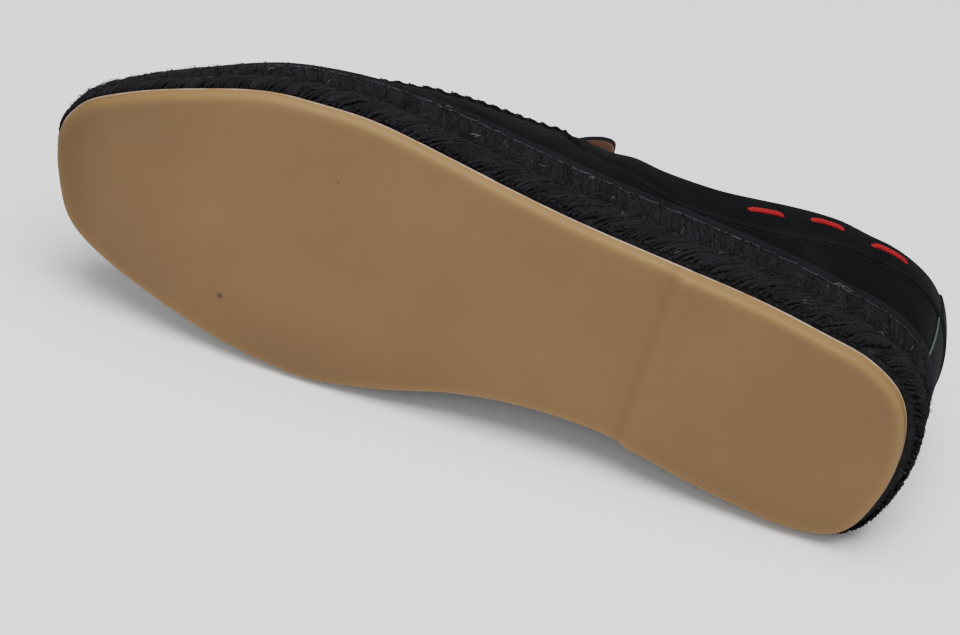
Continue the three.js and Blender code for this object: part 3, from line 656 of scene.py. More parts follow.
def layStrip(shape, way, start, length, spread, width, thickness, end, lift, curl, tone):
    # one strip of a tassel's skirt, which leaves the cap and opens out with the others
    rings = 9
    rows = []
    for i in range(rings):
        t = end * i / (rings - 1)
        opened = mix(0.75 * tassel["capWidth"] - width, tassel["spread"] - width, t ** 0.8)
        raised = mix(capRaise, tasselSeat + tassel["thickness"], ease(t)) + lift * (1 - 0.4 * t)
        raised += curl * math.sin(3.1 * t)
        half, high = width / 2, thickness / 2
        ring = [(half, high * .5), (half * .8, high), (-half * .8, high), (-half, high * .5),
                (-half, -high * .5), (-half * .8, -high), (half * .8, -high), (half, -high * .5)]
        rows.append([way(start + t * length, spread * opened + a, raised + b) for a, b in ring])
    first = len(shape["points"])
    for row in rows:
        shape["points"].extend(row)
        shape["tone"].extend([tone] * 8)
    for i in range(rings - 1):
        for k in range(8):
            a, b, n = first + 8 * i, first + 8 * (i + 1), (k + 1) % 8
            shape["faces"].append((a + k, a + n, b + n, b + k))
            shape["uv"].append([(k / 8, i), ((k + 1) / 8, i), ((k + 1) / 8, i + 1), (k / 8, i + 1)])
            shape["slots"].append(0)
    for face in ([first + k for k in reversed(range(8))], [first + 8 * (rings - 1) + k for k in range(8)]):
        shape["faces"].append(tuple(face))
        shape["uv"].append([(0, 0)] * 8)
        shape["slots"].append(0)


def makeTassel(name, way, node):
    rng = random.Random(tassel["seed"] + len(node))
    shape = newShape()
    count = tassel["strips"]
    for layer in (0, 1):
        for k in range(count):
            spread = (k + 0.5 * layer - (count - 0.5) / 2) / count
            width = 0.86 * tassel["spread"] / count
            layStrip(shape, way, skirtStart, skirtLength, spread, width, 1.15, rng.uniform(0.93, 1),
                     (0.55 if layer else -0.5) + rng.uniform(-0.12, 0.12), rng.uniform(-0.25, 0.25),
                     rng.uniform(-0.15, 0.25))
    sides = 3 * tassel["pleats"]
    profile = [(0, 0.3), (0.02, 0.5), (0.1, 0.8), (0.3, 0.97), (0.5, 1), (0.66, 0.98), (0.72, 0.86),
               (0.78, 0.86), (0.84, 0.98), (0.95, 1), (1, 0.9), (1, 0.6)]
    rings = []
    for along, wide in profile:
        ring = []
        for k in range(sides):
            angle = 2 * math.pi * k / sides
            r = wide * (1 - 0.05 * (k % 3 == 0))
            ring.append(way(capStart + along * tassel["cap"], r * tassel["capWidth"] / 2 * math.cos(angle),
                            capRaise + r * tassel["capHeight"] / 2 * math.sin(angle)))
        rings.append(ring + ring[:1])
    layGrid(shape, rings)
    for ring in (rings[0], rings[-1]):
        middle = sum(ring[:-1], Vector()) / sides
        layGrid(shape, [[middle] * (sides + 1), ring])
    return makePiece(name, shape, [suedeMaterial], [node], merge=True, smooth=45)


tasselPieces = {"outer": makeTassel("tassel_outer_suede", outerWay, "tassel_outer"),
                "inner": makeTassel("tassel_inner_suede", innerWay, "tassel_inner")}
print("lace and tassels made")

# Lining: smooth vegetable-tanned calf, red tan, with fine pores, clouded where the tan took unevenly.
lining = {"colour": "#8a552e", "deep": "#744422", "poreSize": 0.9}


def makeLiningMaterial():
    material, tree, shader = newMaterial("vegetable-tanned lining leather", {
        "IOR": 1.5, "Roughness": 0.6, "Specular IOR Level": 0.2})
    spot = addNode(tree, "TexCoord")
    cloud = addNode(tree, "TexNoise", {"Scale": 40, "Detail": 4}, {"Vector": spot.outputs["Object"]})
    pores = addNode(tree, "TexVoronoi", {"Scale": 1 / (lining["poreSize"] * mm)},
                    {"Vector": spot.outputs["Object"]})
    colours = addNode(tree, "ValToRGB", {"stops": [(0.35, hexColour(lining["deep"])),
                                                   (0.7, hexColour(lining["colour"]))]},
                      {0: cloud.outputs[0]})
    bump = addNode(tree, "Bump", {"Strength": 0.25, "Distance": 0.0002}, {"Height": pores.outputs[0]})
    wire(tree, shader, {"Base Color": colours, "Normal": bump})
    return material


liningMaterial = makeLiningMaterial()

# Soft creases of the upper: side of the shoe, from and to as (place along the shoe, height up the wall),
# depth and half-width, all in millimetres. A negative depth is a fold that stands out.
upperPlan = {
    "columns": 300, "lowRows": 26, "highRows": 14, "slack": 0.22,
    "puckerPitch": 4.8, "puckerDepth": 0.38, "puckerWidth": 3.2, "foldWidth": 0.9,
    "creases": [
        (1, (78, 3.4), (122, 3.6), 0.45, 0.55), (1, (74, 2.1), (124, 2.2), -0.3, 0.9),
        (1, (172, 8), (186, 40), 0.5, 1.8), (1, (180, 6), (196, 36), 0.45, 1.6),
        (1, (190, 6), (207, 30), 0.4, 1.8), (-1, (170, 9), (184, 42), 0.6, 1.8),
        (-1, (180, 6), (197, 36), 0.5, 1.6), (-1, (192, 5), (208, 30), 0.4, 1.8),
        (1, (128, 33), (137, 24), 0.7, 1.2), (1, (133, 30), (146, 27), 0.5, 1.3),
        (1, (118, 14), (134, 20), 0.35, 1.8), (1, (96, 6), (140, 26), 0.45, 2.2),
        (-1, (90, 6), (138, 30), 0.6, 2.4), (-1, (60, 20), (96, 8), 0.5, 2.4),
        (1, (26, 8), (30, 34), 0.3, 2.6), (-1, (30, 6), (34, 34), 0.6, 2.6),
        (-1, (48, 8), (52, 30), 0.4, 2.2), (1, (226, 4), (240, 20), 0.3, 1.8),
        (-1, (228, 4), (244, 22), 0.35, 1.8), (1, (212, 5), (222, 25), -0.3, 2),
    ],
}


def creaseDepth(x, high, side):
    total = 0
    for creaseSide, a, b, depth, width in upperPlan["creases"]:
        if creaseSide != side:
            continue
        ax, ah, bx, bh = *a, *b
        span = (bx - ax) ** 2 + (bh - ah) ** 2
        t = clamp(((x - ax) * (bx - ax) + (high - ah) * (bh - ah)) / span)
        away = math.hypot(x - mix(ax, bx, t), high - mix(ah, bh, t))
        total += depth * math.exp(-(away / width) ** 2) * min(1, 6 * min(t, 1 - t) + 0.25)
    return total


def makeUpper():
    plan = upperPlan
    turns = sorted({i / plan["columns"] for i in range(plan["columns"] + 1)}
                   | {turnOf((shoe["throat"] - back) / shoe["length"]) for back in (9, 5, 2.5, 1.2, 0.5, 0)}
                   | {turnOf((shoe["counter"] + ahead) / shoe["length"]) for ahead in (0, 0.35)})
    apronRun = {}  # how far along the apron seam each station is
    run, before = 0, None
    for turn in turns:
        facts = wallFacts(turn, 1)
        p = onCurve(facts["curve"], facts["line"])
        run += (p - before).length if before else 0
        apronRun[turn], before = run, p
    shape = newShape()
    for side in (1, -1):
        outerRows, innerRows, tones, rims = [], [], [], []
        for turn in turns:
            facts = wallFacts(turn, side)
            x, length, line, top = facts["x"], facts["length"], facts["line"], facts["top"]
            half = shoe["seamWidth"] / 2 / length
            climbs = [(line - half) * j / plan["lowRows"] for j in range(plan["lowRows"])]
            climbs += [line + half * k for k in (-1, -0.6, -0.3, 0, 0.3, 0.6, 1)]
            climbs += [mix(line + half, top, (j + 1) / plan["highRows"]) for j in range(plan["highRows"])]
            banded = shoe["bandRaise"] * ease((shoe["throat"] - shoe["bandEnd"] - x) / shoe["bandFade"])
            started = ease((x - shoe["throat"] + shoe["seamStart"]) / shoe["seamFade"])
            seamed = shoe["seamHeight"] * started * (1 - ease((x - shoe["apronFront"]) / shoe["seamWidth"]))
            front = shoe["seamHeight"] * max(0, 1 - abs(x - shoe["apronFront"]) / shoe["seamWidth"])
            backed = shoe["counterRaise"] if x <= shoe["counter"] else 0
            row, toneRow = [], []
            for climb in climbs:
                away = (climb - line) * length
                ridge = seamed * ease(1 - abs(away) / (shoe["seamWidth"] / 2 + 0.4))
                over = max(banded, front) * ease(away / plan["foldWidth"] + 0.6)
                pucker = math.cos(2 * math.pi * apronRun[turn] / plan["puckerPitch"])
                gathered = plan["puckerDepth"] * pucker * started
                gathered *= math.exp(-(away / plan["puckerWidth"]) ** 2)
                gathered *= 0 if x > shoe["apronFront"] + 4 else 1
                slack = plan["slack"] * noise.noise(Vector((x / 14, climb * length / 11, 3 * side)))
                slack *= ease(climb * length / 5) * ease((1 - climb) * 6 + 0.3)
                crease = creaseDepth(x, climb * length, side) * ease(climb * length / 1.5)
                raised = max(ridge, over) + backed + gathered - crease + slack
                curve = sectionCurve(turn, side, -raised)
                row.append(onCurve(curve, climb))
                # painted highlight on the step of the collar band and the apron seam's ridge, and painted
                # shade along the creases
                paintedEdgeHighlight = 0.5 * math.exp(-((away - 0.4) / 0.5) ** 2) * (banded + seamed)
                toneRow.append(paintedEdgeHighlight - 0.3 * max(crease, 0))
            inner = sectionCurve(turn, side, shoe["wall"])
            innerRows.append([onCurve(inner, top * j / 12) for j in range(13)])
            outerRows.append(row)
            tones.append(toneRow)
            if turn <= throatTurn + 1e-9:
                a, b = row[-1], innerRows[-1][-1]
                rise = 0.45 * (1 - ease((x - shoe["throat"] + 3) / 3))
                steps = ((0.2, 0.7), (0.5, 1), (0.8, 0.7))
                rims.append([a, *(a.lerp(b, t) + Vector((0, 0, part * rise)) for t, part in steps), b])
        layGrid(shape, outerRows, 0, side > 0, tones)
        layGrid(shape, innerRows, 1, side < 0)
        layGrid(shape, [[a[0], b[0]] for a, b in zip(outerRows, innerRows)], 0, side < 0)
        layGrid(shape, rims, 0, side > 0)
    return makePiece("upper_suede", shape, [suedeMaterial, liningMaterial], ["upper"], merge=True,
                     smooth=70)


makeUpper()

# Tongue: suede with its lining leather under it. Its end is drawn in over the first stretch from the tip.
tonguePlan = {"thickness": 2.6, "tip": 124.5, "lift": 14, "arch": 0.45, "rise": 144, "room": 1.6, "foot": 168,
              "halfWidth": 27, "round": 11, "drawnIn": 60, "free": 34, "hidden": 12, "across": 16}


def makeTongue():
    plan = tonguePlan
    shares = [(1 - math.cos(math.pi * i / plan["free"])) / 2 for i in range(plan["free"])]
    spots = [mix(plan["tip"], shoe["throat"], share) for share in shares]
    spots += [mix(shoe["throat"], plan["foot"], i / plan["hidden"]) for i in range(plan["hidden"] + 1)]

    def face(depth, shrink):
        rows = []
        for spot in spots:
            drawn = (spot - plan["tip"]) / plan["drawnIn"]
            spot = max(spot, mix(plan["tip"] + shrink, shoe["throat"], drawn))
            turn = turnOf(spot / shoe["length"])
            rising = clamp((plan["rise"] - spot) / (plan["rise"] - plan["tip"]))
            lifted = plan["lift"] * math.sin(math.pi / 2 * rising) ** plan["arch"]
            corner = clamp((spot - plan["tip"]) / plan["round"])
            width = plan["halfWidth"] * mix(0.35, 1, math.sqrt(1 - (1 - corner) ** 2)) - shrink
            halves = []
            for side in (1, -1):
                edge = sectionCurve(turn, side, 0)
                opened = max((1 - topClimb(edge, turn)) * curveLength(edge) - shoe["wall"], shoe["gap"])
                half = []
                for j in range(plan["across"] + 1):
                    fromCrown = width * j / plan["across"]
                    arched = lifted * max(0, 1 - (fromCrown / opened) ** 2)
                    curve = sectionCurve(turn, side, shoe["wall"] + plan["room"] - arched + depth)
                    half.append(onCurve(curve, 1 - fromCrown / curveLength(curve)))
                halves.append(half)
            rows.append(halves[0][::-1] + halves[1][1:])
        return rows

    shape = newShape()
    levels = [(0, 0.5), (0.3, 0.1), (1.0, 0), (plan["thickness"] - 0.7, 0), (plan["thickness"] - 0.3, 0.1),
              (plan["thickness"], 0.6)]
    faces = [face(depth, shrink) for depth, shrink in levels]
    layGrid(shape, faces[0], 0, True)
    layGrid(shape, faces[-1], 1)
    for k in range(len(faces) - 1):
        for edge in (lambda rows: rows[0], lambda rows: rows[-1], lambda rows: [row[0] for row in rows],
                     lambda rows: [row[-1] for row in rows]):
            layGrid(shape, [edge(faces[k]), edge(faces[k + 1])], 0 if k < 4 else 1)
    return makePiece("tongue_suede", shape, [suedeMaterial, liningMaterial], ["tongue"], merge=True,
                     smooth=60)


makeTongue()
print("upper and tongue made")

# Outsole: natural rubber sheet pressed in a mould, honey tan, slightly waxy. Its rim is painted a little
# paler, partly where the mould's lip thins it and partly as a painted highlight, and dust lies in faint
# clouds a few centimetres wide. The stops along and across the tread paint shade, and a highlight at the
# heel's breast: they give how bright the tread is at places along it from the heel's back and across it from
# the inner edge.
outsole = {"colour": "#6b5135", "cloud": "#73583b", "rim": "#80653f", "lip": "#a08c7e", "mark": "#3c2a1b",
           "toneAndPaintedLight": [(0, .93), (60, .95), (81, .95), (83.5, 1), (85.5, 1), (87.6, .86), (90, .97), (97, 1),
                    (240, 1), (272, .9), (285, .72), (292, .6)],
           "shaded": [(2, .78), (14, .88), (36, .96), (60, 1)], "halfWidth": 60, "rimRadius": 1.7,
           "grit": 0.5, "columns": 150, "marks": [(198.2, 29.1, 0.55), (227.5, -32.5, 1.5), (47.3, 0.3, 0.4)]}


def makeRubberMaterial():
    material, tree, shader = newMaterial("pressed natural rubber, honey tan", {
        "IOR": 1.52, "Specular IOR Level": 0.15})
    spot = addNode(tree, "TexCoord")
    cloud = addNode(tree, "TexNoise", {"Scale": 22, "Detail": 5, "Roughness": 0.55},
                    {"Vector": spot.outputs["Object"]})
    grit = addNode(tree, "TexNoise", {"Scale": 1 / (outsole["grit"] * mm), "Detail": 2},
                   {"Vector": spot.outputs["Object"]})
    body = addNode(tree, "ValToRGB", {"stops": [(0.35, hexColour(outsole["colour"])),
                                                (0.7, hexColour(outsole["cloud"]))]}, {0: cloud.outputs[0]})
    # the rim colour is partly the mould's thinner lip and partly a painted highlight on the upward edge
    tone = addNode(tree, "Attribute", {"attribute_name": "tone"})
    rim = addNode(tree, "Mix", {"data_type": "RGBA", "B": hexColour(outsole["rim"])},
                  {"Factor": tone.outputs["Fac"], "A": body.outputs[0]})
    last = rim.outputs["Result"]
    # painted shade: the heel, the toe and the inner edge are darker, and the heel's breast bevel gets a
    # painted shadow at its foot and a painted highlight at its top
    fromHeel = addNode(tree, "VectorMath", {"operation": "SUBTRACT", 1: heelPoint},
                       {0: spot.outputs["Object"]})
    for axis, span, begin, stops in ((toeAxis, shoe["length"], 0, outsole["toneAndPaintedLight"]),
                                     (outAxis, outsole["halfWidth"], 1, outsole["shaded"])):
        run = addNode(tree, "VectorMath", {"operation": "DOT_PRODUCT", 1: axis}, {0: fromHeel.outputs[0]})
        share = addNode(tree, "Math", {"operation": "MULTIPLY_ADD", 1: 1 / (span * mm), 2: begin},
                        {0: run.outputs["Value"]})
        toneAndPaintedLight = addNode(tree, "ValToRGB", {"stops": [(at / span, grey(level)) for at, level in stops]},
                       {0: share.outputs[0]})
        dulled = addNode(tree, "Mix", {"data_type": "RGBA", "blend_type": "MULTIPLY", "Factor": 1.0},
                         {"A": last, "B": toneAndPaintedLight.outputs[0]})
        last = dulled.outputs["Result"]
    for x, y, radius in outsole["marks"]:  # small dark marks in the tread
        centre = place((x, y, treadLine(turnOf(x / shoe["length"]))))
        away = addNode(tree, "VectorMath", {"operation": "DISTANCE", 1: centre}, {0: spot.outputs["Object"]})
        inside = addNode(tree, "MapRange", {"From Min": radius * mm, "From Max": 0.3 * radius * mm,
                                            "To Max": 0.8}, {"Value": away.outputs["Value"]})
        marked = addNode(tree, "Mix", {"data_type": "RGBA", "B": hexColour(outsole["mark"])},
                         {"Factor": inside.outputs[0], "A": last})
        last = marked.outputs["Result"]
    rough = addNode(tree, "MapRange", {"From Min": 0.3, "From Max": 0.7, "To Min": 0.5, "To Max": 0.64},
                    {"Value": cloud.outputs[0]})
    bump = addNode(tree, "Bump", {"Strength": 0.12, "Distance": 0.0002}, {"Height": grit.outputs[0]})
    tree.links.new(last, shader.inputs["Base Color"])
    wire(tree, shader, {"Roughness": rough, "Normal": bump})
    return material


rubberMaterial = makeRubberMaterial()


def layRings(shape, turns, rings, tones):
    # a closed body from rings round the sole, lowest first, closed by strips from side to side
    def point(ring, turn, side):
        grow, height = ring(turn, side)
        p = outlinePoint(turn, side, grow)
        return Vector((p.x, p.y, height))
    for side in (1, -1):
        rows = [[point(ring, turn, side) for turn in turns] for ring in rings]
        layGrid(shape, rows, 0, side < 0, [[tone] * len(turns) for tone in tones])
    for ring, tone, flip in ((rings[0], tones[0], False), (rings[-1], tones[-1], True)):
        layGrid(shape, [[point(ring, turn, side) for turn in turns] for side in (1, -1)], 0, not flip,
                [[tone] * len(turns)] * 2)


def makeOutsole():
    breastSteps = (-1.2, 0, 0.4, 1.5, 2.6, 3, 4.2)
    turns = sorted({i / outsole["columns"] for i in range(outsole["columns"] + 1)}
                   | {turnOf((shoe["breast"] + x) / shoe["length"]) for x in breastSteps})
    rimRadius = outsole["rimRadius"]
    rings, tones = [], []
    # tones: how far the rim's paler colour, partly a painted highlight, reaches in over the tread and round
    # the edge
    for inset, tone in ((4.4, 0), (3.3, 0.12), (2.3, 0.35)):
        rings.append(lambda turn, side, inset=inset: (-inset, treadLine(turn)))
        tones.append(tone)
    for k in range(5):
        angle = math.pi / 2 * k / 4
        rings.append(lambda turn, side, angle=angle: (-rimRadius * (1 - math.sin(angle)),
                                                      treadLine(turn) + rimRadius * (1 - math.cos(angle))))
        tones.append(0.6 + 0.1 * k)
    for grow, down in ((0, 0.9), (0, 0.5), (-0.3, 0)):
        rings.append(lambda turn, side, grow=grow, down=down: (grow, rubberTop(shareOf(turn)) - down))
        tones.append(1)
    shape = newShape()
    layRings(shape, turns, rings, tones)
    return makePiece("outsole_rubber", shape, [rubberMaterial], ["outsole"], merge=True, smooth=60)


makeOutsole()

# The lip that the mould leaves round the outsole's top edge, thin enough to look paler
rubberLipMaterial, lipTree, lipShader = newMaterial("thin lip of natural rubber", {
    "Roughness": 0.5, "IOR": 1.52, "Subsurface Weight": 0.15, "Subsurface Radius": (0.002, 0.001, 0.0006)})
lipNoise = addNode(lipTree, "TexNoise", {"Scale": 140, "Detail": 3},
                   {"Vector": addNode(lipTree, "TexCoord").outputs["Object"]})
lipRamp = addNode(lipTree, "ValToRGB", {"stops": [(0.3, hexColour(outsole["rim"])),
                                                  (0.65, hexColour(outsole["lip"]))]},
                  {0: lipNoise.outputs[0]})
lipTree.links.new(lipRamp.outputs[0], lipShader.inputs["Base Color"])


def makeLip():
    shape = newShape()
    path = []
    steps = 420
    for i in range(steps + 1):
        turn, side = around(lapTotal * i / steps)
        share = shareOf(turn)
        wobble = 0.08 * noise.noise(Vector((i / 9, 0, 7)))
        p = outlinePoint(turn, side, 0.02 + wobble)
        path.append(Vector((p.x, p.y, rubberTop(share) - 0.32)))
    layTube(shape, path, Vector((0, 0, 1)), 0.5, 0.75, 6)
    return makePiece("outsole_lip", shape, [rubberLipMaterial], smooth=80)


makeLip()
print("outsole made")

# Jute: retted bast fibre spun into loose yarn, braided flat and dyed black. The fibres run along each strand,
# break out of it as fuzz and stay matt.
jute = {"colour": "#0e0e10", "light": "#242328", "shadow": "#0d0d0f", "seed": 11,
        "strandSides": 7, "strandRings": 10, "core": 0.2}


def makeJuteMaterial(name, dark, light, coarse):
    material, tree, shader = newMaterial(name, {"Roughness": 0.9, "IOR": 1.5, "Specular IOR Level": 0.03,
                                                "Sheen Weight": 0.02, "Sheen Roughness": 0.5})
    run = addNode(tree, "UVMap", {"uv_map": "run"})
    tone = addNode(tree, "Attribute", {"attribute_name": "tone"})
    shift = addNode(tree, "CombineXYZ", links={"Z": addNode(tree, "Math", {"operation": "MULTIPLY", 1: 37.0},
                                                            {0: tone.outputs["Fac"]}).outputs[0]})
    moved = addNode(tree, "VectorMath", {"operation": "ADD"}, {0: run.outputs[0], 1: shift.outputs[0]})
    spread = addNode(tree, "Mapping", {"Scale": (coarse, 0.45, 1)}, {"Vector": moved.outputs[0]})
    fibres = addNode(tree, "TexNoise", {"Scale": 1.0, "Detail": 4, "Roughness": 0.7, "Distortion": 0.3},
                     {"Vector": spread.outputs[0]})
    level = addNode(tree, "Math", {"operation": "MULTIPLY_ADD", 1: 0.35},
                    {0: tone.outputs["Fac"], 2: fibres.outputs[0]})
    colours = addNode(tree, "ValToRGB", {"stops": [(0.45, hexColour(dark)), (0.95, hexColour(light))]},
                      {0: level.outputs[0]})
    bump = addNode(tree, "Bump", {"Strength": 1.0, "Distance": 0.0006}, {"Height": fibres.outputs[0]})
    wire(tree, shader, {"Base Color": colours, "Normal": bump})
    return material


juteMaterial = makeJuteMaterial("jute yarn, dyed black", jute["colour"], jute["light"], 18)


def makeJuteCoreMaterial():
    material, tree, shader = newMaterial("jute braid in shadow", {"Roughness": 0.95, "IOR": 1.5,
                                                                  "Specular IOR Level": 0.2})
    spot = addNode(tree, "TexCoord")
    fibres = addNode(tree, "TexNoise", {"Scale": 900, "Detail": 3}, {"Vector": spot.outputs["Object"]})
    colours = addNode(tree, "ValToRGB", {"stops": [(0.4, hexColour(jute["shadow"])),
                                                   (0.8, hexColour(jute["light"]))]}, {0: fibres.outputs[0]})
    bump = addNode(tree, "Bump", {"Strength": 0.8, "Distance": 0.0005}, {"Height": fibres.outputs[0]})
    wire(tree, shader, {"Base Color": colours, "Normal": bump})
    return material


juteCoreMaterial = makeJuteCoreMaterial()


def makeMidsole():
    # the core under the strands, a little inside the braid's face
    turns = [i / 130 for i in range(131)]
    ups = [0, .03, .07, .15, .24, .33, .41, .45, .49, .53, .57, .66, .76, .85, .94, .98, 1]
    rings = []
    for up in ups:
        def ring(turn, side, up=up):
            share = shareOf(turn)
            face = ropeEdge(share) - column(ropeTable, "in", up) - ropeLean(turn, side, up)
            return face - jute["core"], mix(ropeFoot(share), ropeTop(share), up)
        rings.append(ring)
    shape = newShape()
    layRings(shape, turns, rings, [0.5] * len(ups))
    return makePiece("midsole_core", shape, [juteCoreMaterial], ["midsole"], merge=True)


makeMidsole()


def makeStrands():
    rng = random.Random(jute["seed"])
    # each row of the braid: foot and top as shares of the height, lean in millimetres along the sole for each
    # millimetre of height, how far its ends and its middle stand out, and the hook of its loops
    rows = [{"foot": -0.01, "top": 0.55, "lean": -1.15, "ends": (0.9, -0.3), "proud": 0.3, "pitch": 3.6,
             "yarns": 3, "wide": 1.6, "hook": 0.8},
            {"foot": 0.45, "top": 0.94, "lean": 0.25, "ends": (-0.4, -0.5), "proud": 0.7, "pitch": 3.1,
             "yarns": 3, "wide": 1.55, "hook": 1.5}]
    shape = newShape()
    for row in rows:
        count = round(lapTotal / row["pitch"])
        for i in range(count * row["yarns"]):
            if i % row["yarns"] == 0:  # the yarns of one strand share its place and its bends
                bundle = rng.uniform(-0.2, 0.2) * row["pitch"]
                lean = row["lean"] * rng.uniform(0.75, 1.25)
                bow = rng.uniform(-0.9, 0.9)
                hook = row["hook"] * rng.uniform(-1, 1)
            middle = lapTotal * i / (count * row["yarns"]) + bundle
            share = shareOf(around(middle)[0])
            foot = row["foot"] + rng.uniform(0, 0.03)
            top = row["top"] - rng.uniform(0, 0.07)
            high = (top - foot) * shoe["rope"] * column(outlineTable, "rope", share)
            fan = rng.uniform(-0.6, 0.6)
            proud = row["proud"] * rng.uniform(0.5, 1.2) * mix(0.75, 1, clamp(high / 11))
            path, lifts = [], []
            for k in range(jute["strandRings"]):
                t = k / (jute["strandRings"] - 1)
                bent = bow * math.sin(math.pi * t) + (hook + fan) * (2 * t - 1) ** 3
                lap = middle + (t - 0.5) * lean * high + bent
                out = proud * math.sin(math.pi * t) ** 0.7 + mix(*row["ends"], t)
                p = ropePoint(lap, mix(foot, top, t), out)
                path.append(p)
                lifts.append((ropePoint(lap, mix(foot, top, t), out + 1) - p).normalized())
            layTube(shape, path, lifts, row["wide"] * rng.uniform(0.8, 1.25), 1.2, jute["strandSides"],
                    rng.choice((0.06, 0.1)), 2, 0.18, 0.25, rng.uniform(0, 1))
    return makePiece("midsole_strands", shape, [juteMaterial], smooth=70)


makeStrands()


def makeGrooveYarn():
    # the yarn that binds the two rows lies in the groove between them, in slanting stitches
    rng = random.Random(jute["seed"] + 1)
    shape = newShape()
    count = round(lapTotal / 6.2)
    for i in range(count):
        start = lapTotal * i / count
        path, lifts = [], []
        for k in range(7):
            t = k / 6
            lap = start + 7.4 * t
            out = 0.75 * math.sin(math.pi * t) - 0.15
            p = ropePoint(lap, 0.47 + 0.06 * t + rng.uniform(-0.004, 0.004), out)
            path.append(p)
            lifts.append((ropePoint(lap, 0.5, out + 1) - p).normalized())
        layTube(shape, path, lifts, 1.5, 1.3, 7, 0.12, 3, 0.16, 0.5, rng.uniform(0, 0.8))
    return makePiece("midsole_binding_yarn", shape, [juteMaterial], smooth=70)


makeGrooveYarn()


# Loose fibre: heading is the way it lies in degrees from the sole's run, stray how far it strays from that,
# and rise how far it stands off the braid
fibrePlan = [
    {"name": "midsole_fibres_lower", "count": 2600, "low": 0.02, "high": 0.5, "heading": 146, "stray": 22,
     "reach": (3, 8), "rise": (0.1, 0.5), "thick": 0.2},
    {"name": "midsole_fibres_upper", "count": 2600, "low": 0.5, "high": 0.98, "heading": 76, "stray": 32,
     "reach": (2.5, 7), "rise": (0.1, 0.6), "thick": 0.2},
    {"name": "midsole_fuzz", "count": 1500, "low": 0.02, "high": 0.98, "heading": 90, "stray": 180,
     "reach": (2, 6), "rise": (0.3, 1.5), "thick": 0.16},
]


def layFibre(shape, rng, lap, up, heading, length, rise, thick, curl):
    tall = shoe["rope"] * column(outlineTable, "rope", shareOf(around(lap)[0]))
    path = []
    for k in range(5):
        t = k / 4
        bent = math.radians(heading) + curl * (t - 0.5)
        lap += length / 4 * math.cos(bent)
        up += length / 4 * math.sin(bent) / tall
        path.append(ropePoint(lap, clamp(up), 0.55 + rise * math.sin(math.pi * min(t, 0.8))))
    outward = (ropePoint(lap, 0.5, 2) - ropePoint(lap, 0.5, 1)).normalized()
    layTube(shape, path, outward, thick, thick, 3, taper=0.5, tone=rng.uniform(0, 1))


def makeFibres(plan, seed, material):
    rng = random.Random(seed)
    shape = newShape()
    for _ in range(plan["count"]):
        layFibre(shape, rng, rng.uniform(0, lapTotal), rng.uniform(plan["low"], plan["high"]),
                 plan["heading"] + rng.uniform(-1, 1) * plan["stray"], rng.uniform(*plan["reach"]),
                 rng.uniform(*plan["rise"]), plan["thick"], rng.uniform(-1.5, 1.5))
    return makePiece(plan["name"], shape, [material], smooth=80)


fuzzMaterial = makeJuteMaterial("loose jute fibre, dyed black", "#141417", "#38373d", 4)
for planIndex, fibres in enumerate(fibrePlan):
    makeFibres(fibres, jute["seed"] + 2 + planIndex, fuzzMaterial)
lintMaterial = makeJuteMaterial("pale lint fibre", "#4c4b49", "#75736f", 3)

# Pale lint caught in the braid of the outer side: way round the sole, share of the height, heading, length
# and curl
lintPlan = [
    (192.4, .6, 170, 3.4, -2.2), (190.8, .58, 150, 2.2, -1), (181, .66, 80, 1.8, 1.5), (180, .6, 60, 2.2, -2),
    (168.7, .62, 170, 3, -1.6), (169.6, .6, 40, 2.2, 1.8), (137.1, .28, 95, 3.4, .8), (136.4, .26, 70, 2, -1),
    (142.3, .56, 120, 1.8, 1), (130.9, .46, 100, 1.5, 2), (117.7, .5, 85, 2.2, 1.2), (104.6, .34, 100, 3, 1),
    (118.6, .04, 150, 3, -1), (87, .66, 30, 1.8, 2.4), (76.4, .16, 160, 4, -.8), (67.7, .72, 60, 2.4, 2),
    (66.5, .84, 175, 4.6, 3), (64.6, .9, 176, 3, 1.8), (61.5, .86, 130, 2.8, .9), (65, .4, 110, 2.6, .8),
    (49.2, .4, 178, 2.6, .2), (36, .58, 95, 2.6, .4), (284.7, .9, 160, 3, 1), (261, .62, 165, 2.6, -1),
    (203, .93, 170, 2.4, 1.6), (240, .5, 120, 1.8, 1), (222, .75, 80, 2, -1), (152, .8, 150, 2, 1),
]


def makeLint():
    rng = random.Random(jute["seed"] + 9)
    shape = newShape()
    for lap, up, heading, length, curl in lintPlan:
        for strand in range(2):
            layFibre(shape, rng, lap + rng.uniform(-0.5, 0.5), up + rng.uniform(-0.02, 0.02),
                     heading + rng.uniform(-12, 12), length * (1 - 0.35 * strand), 0.9, 0.15, curl)
    return makePiece("midsole_lint", shape, [lintMaterial], smooth=80)


makeLint()
print("midsole made")

# The suede's margin: its cut edge lies on the rope sole's rim and waves a little between the sewing threads.
margin = {"height": 2.4, "raised": 1.0, "drop": 1.5, "edge": 0.5, "pitch": 8.0, "wave": 0.45,
          "threadDown": 3.6, "thread": 0.45}


def edgeDrop(lap):  # how far the cut edge hangs below the wall's foot at a place round the sole
    pulled = 0.5 + 0.5 * math.cos(2 * math.pi * lap / (lapTotal / round(lapTotal / margin["pitch"])))
    low = margin["drop"] + margin["wave"] * (1 - pulled ** 3) + 0.4 * noise.noise(Vector((lap / 7, 2, 0)))
    return low * mix(0.55, 1, column(outlineTable, "rope", shareOf(around(lap)[0])))


def edgePoint(lap, out):
    p = wallPoint(lap, 0, margin["raised"] + out)
    return p - Vector((0, 0, edgeDrop(lap)))


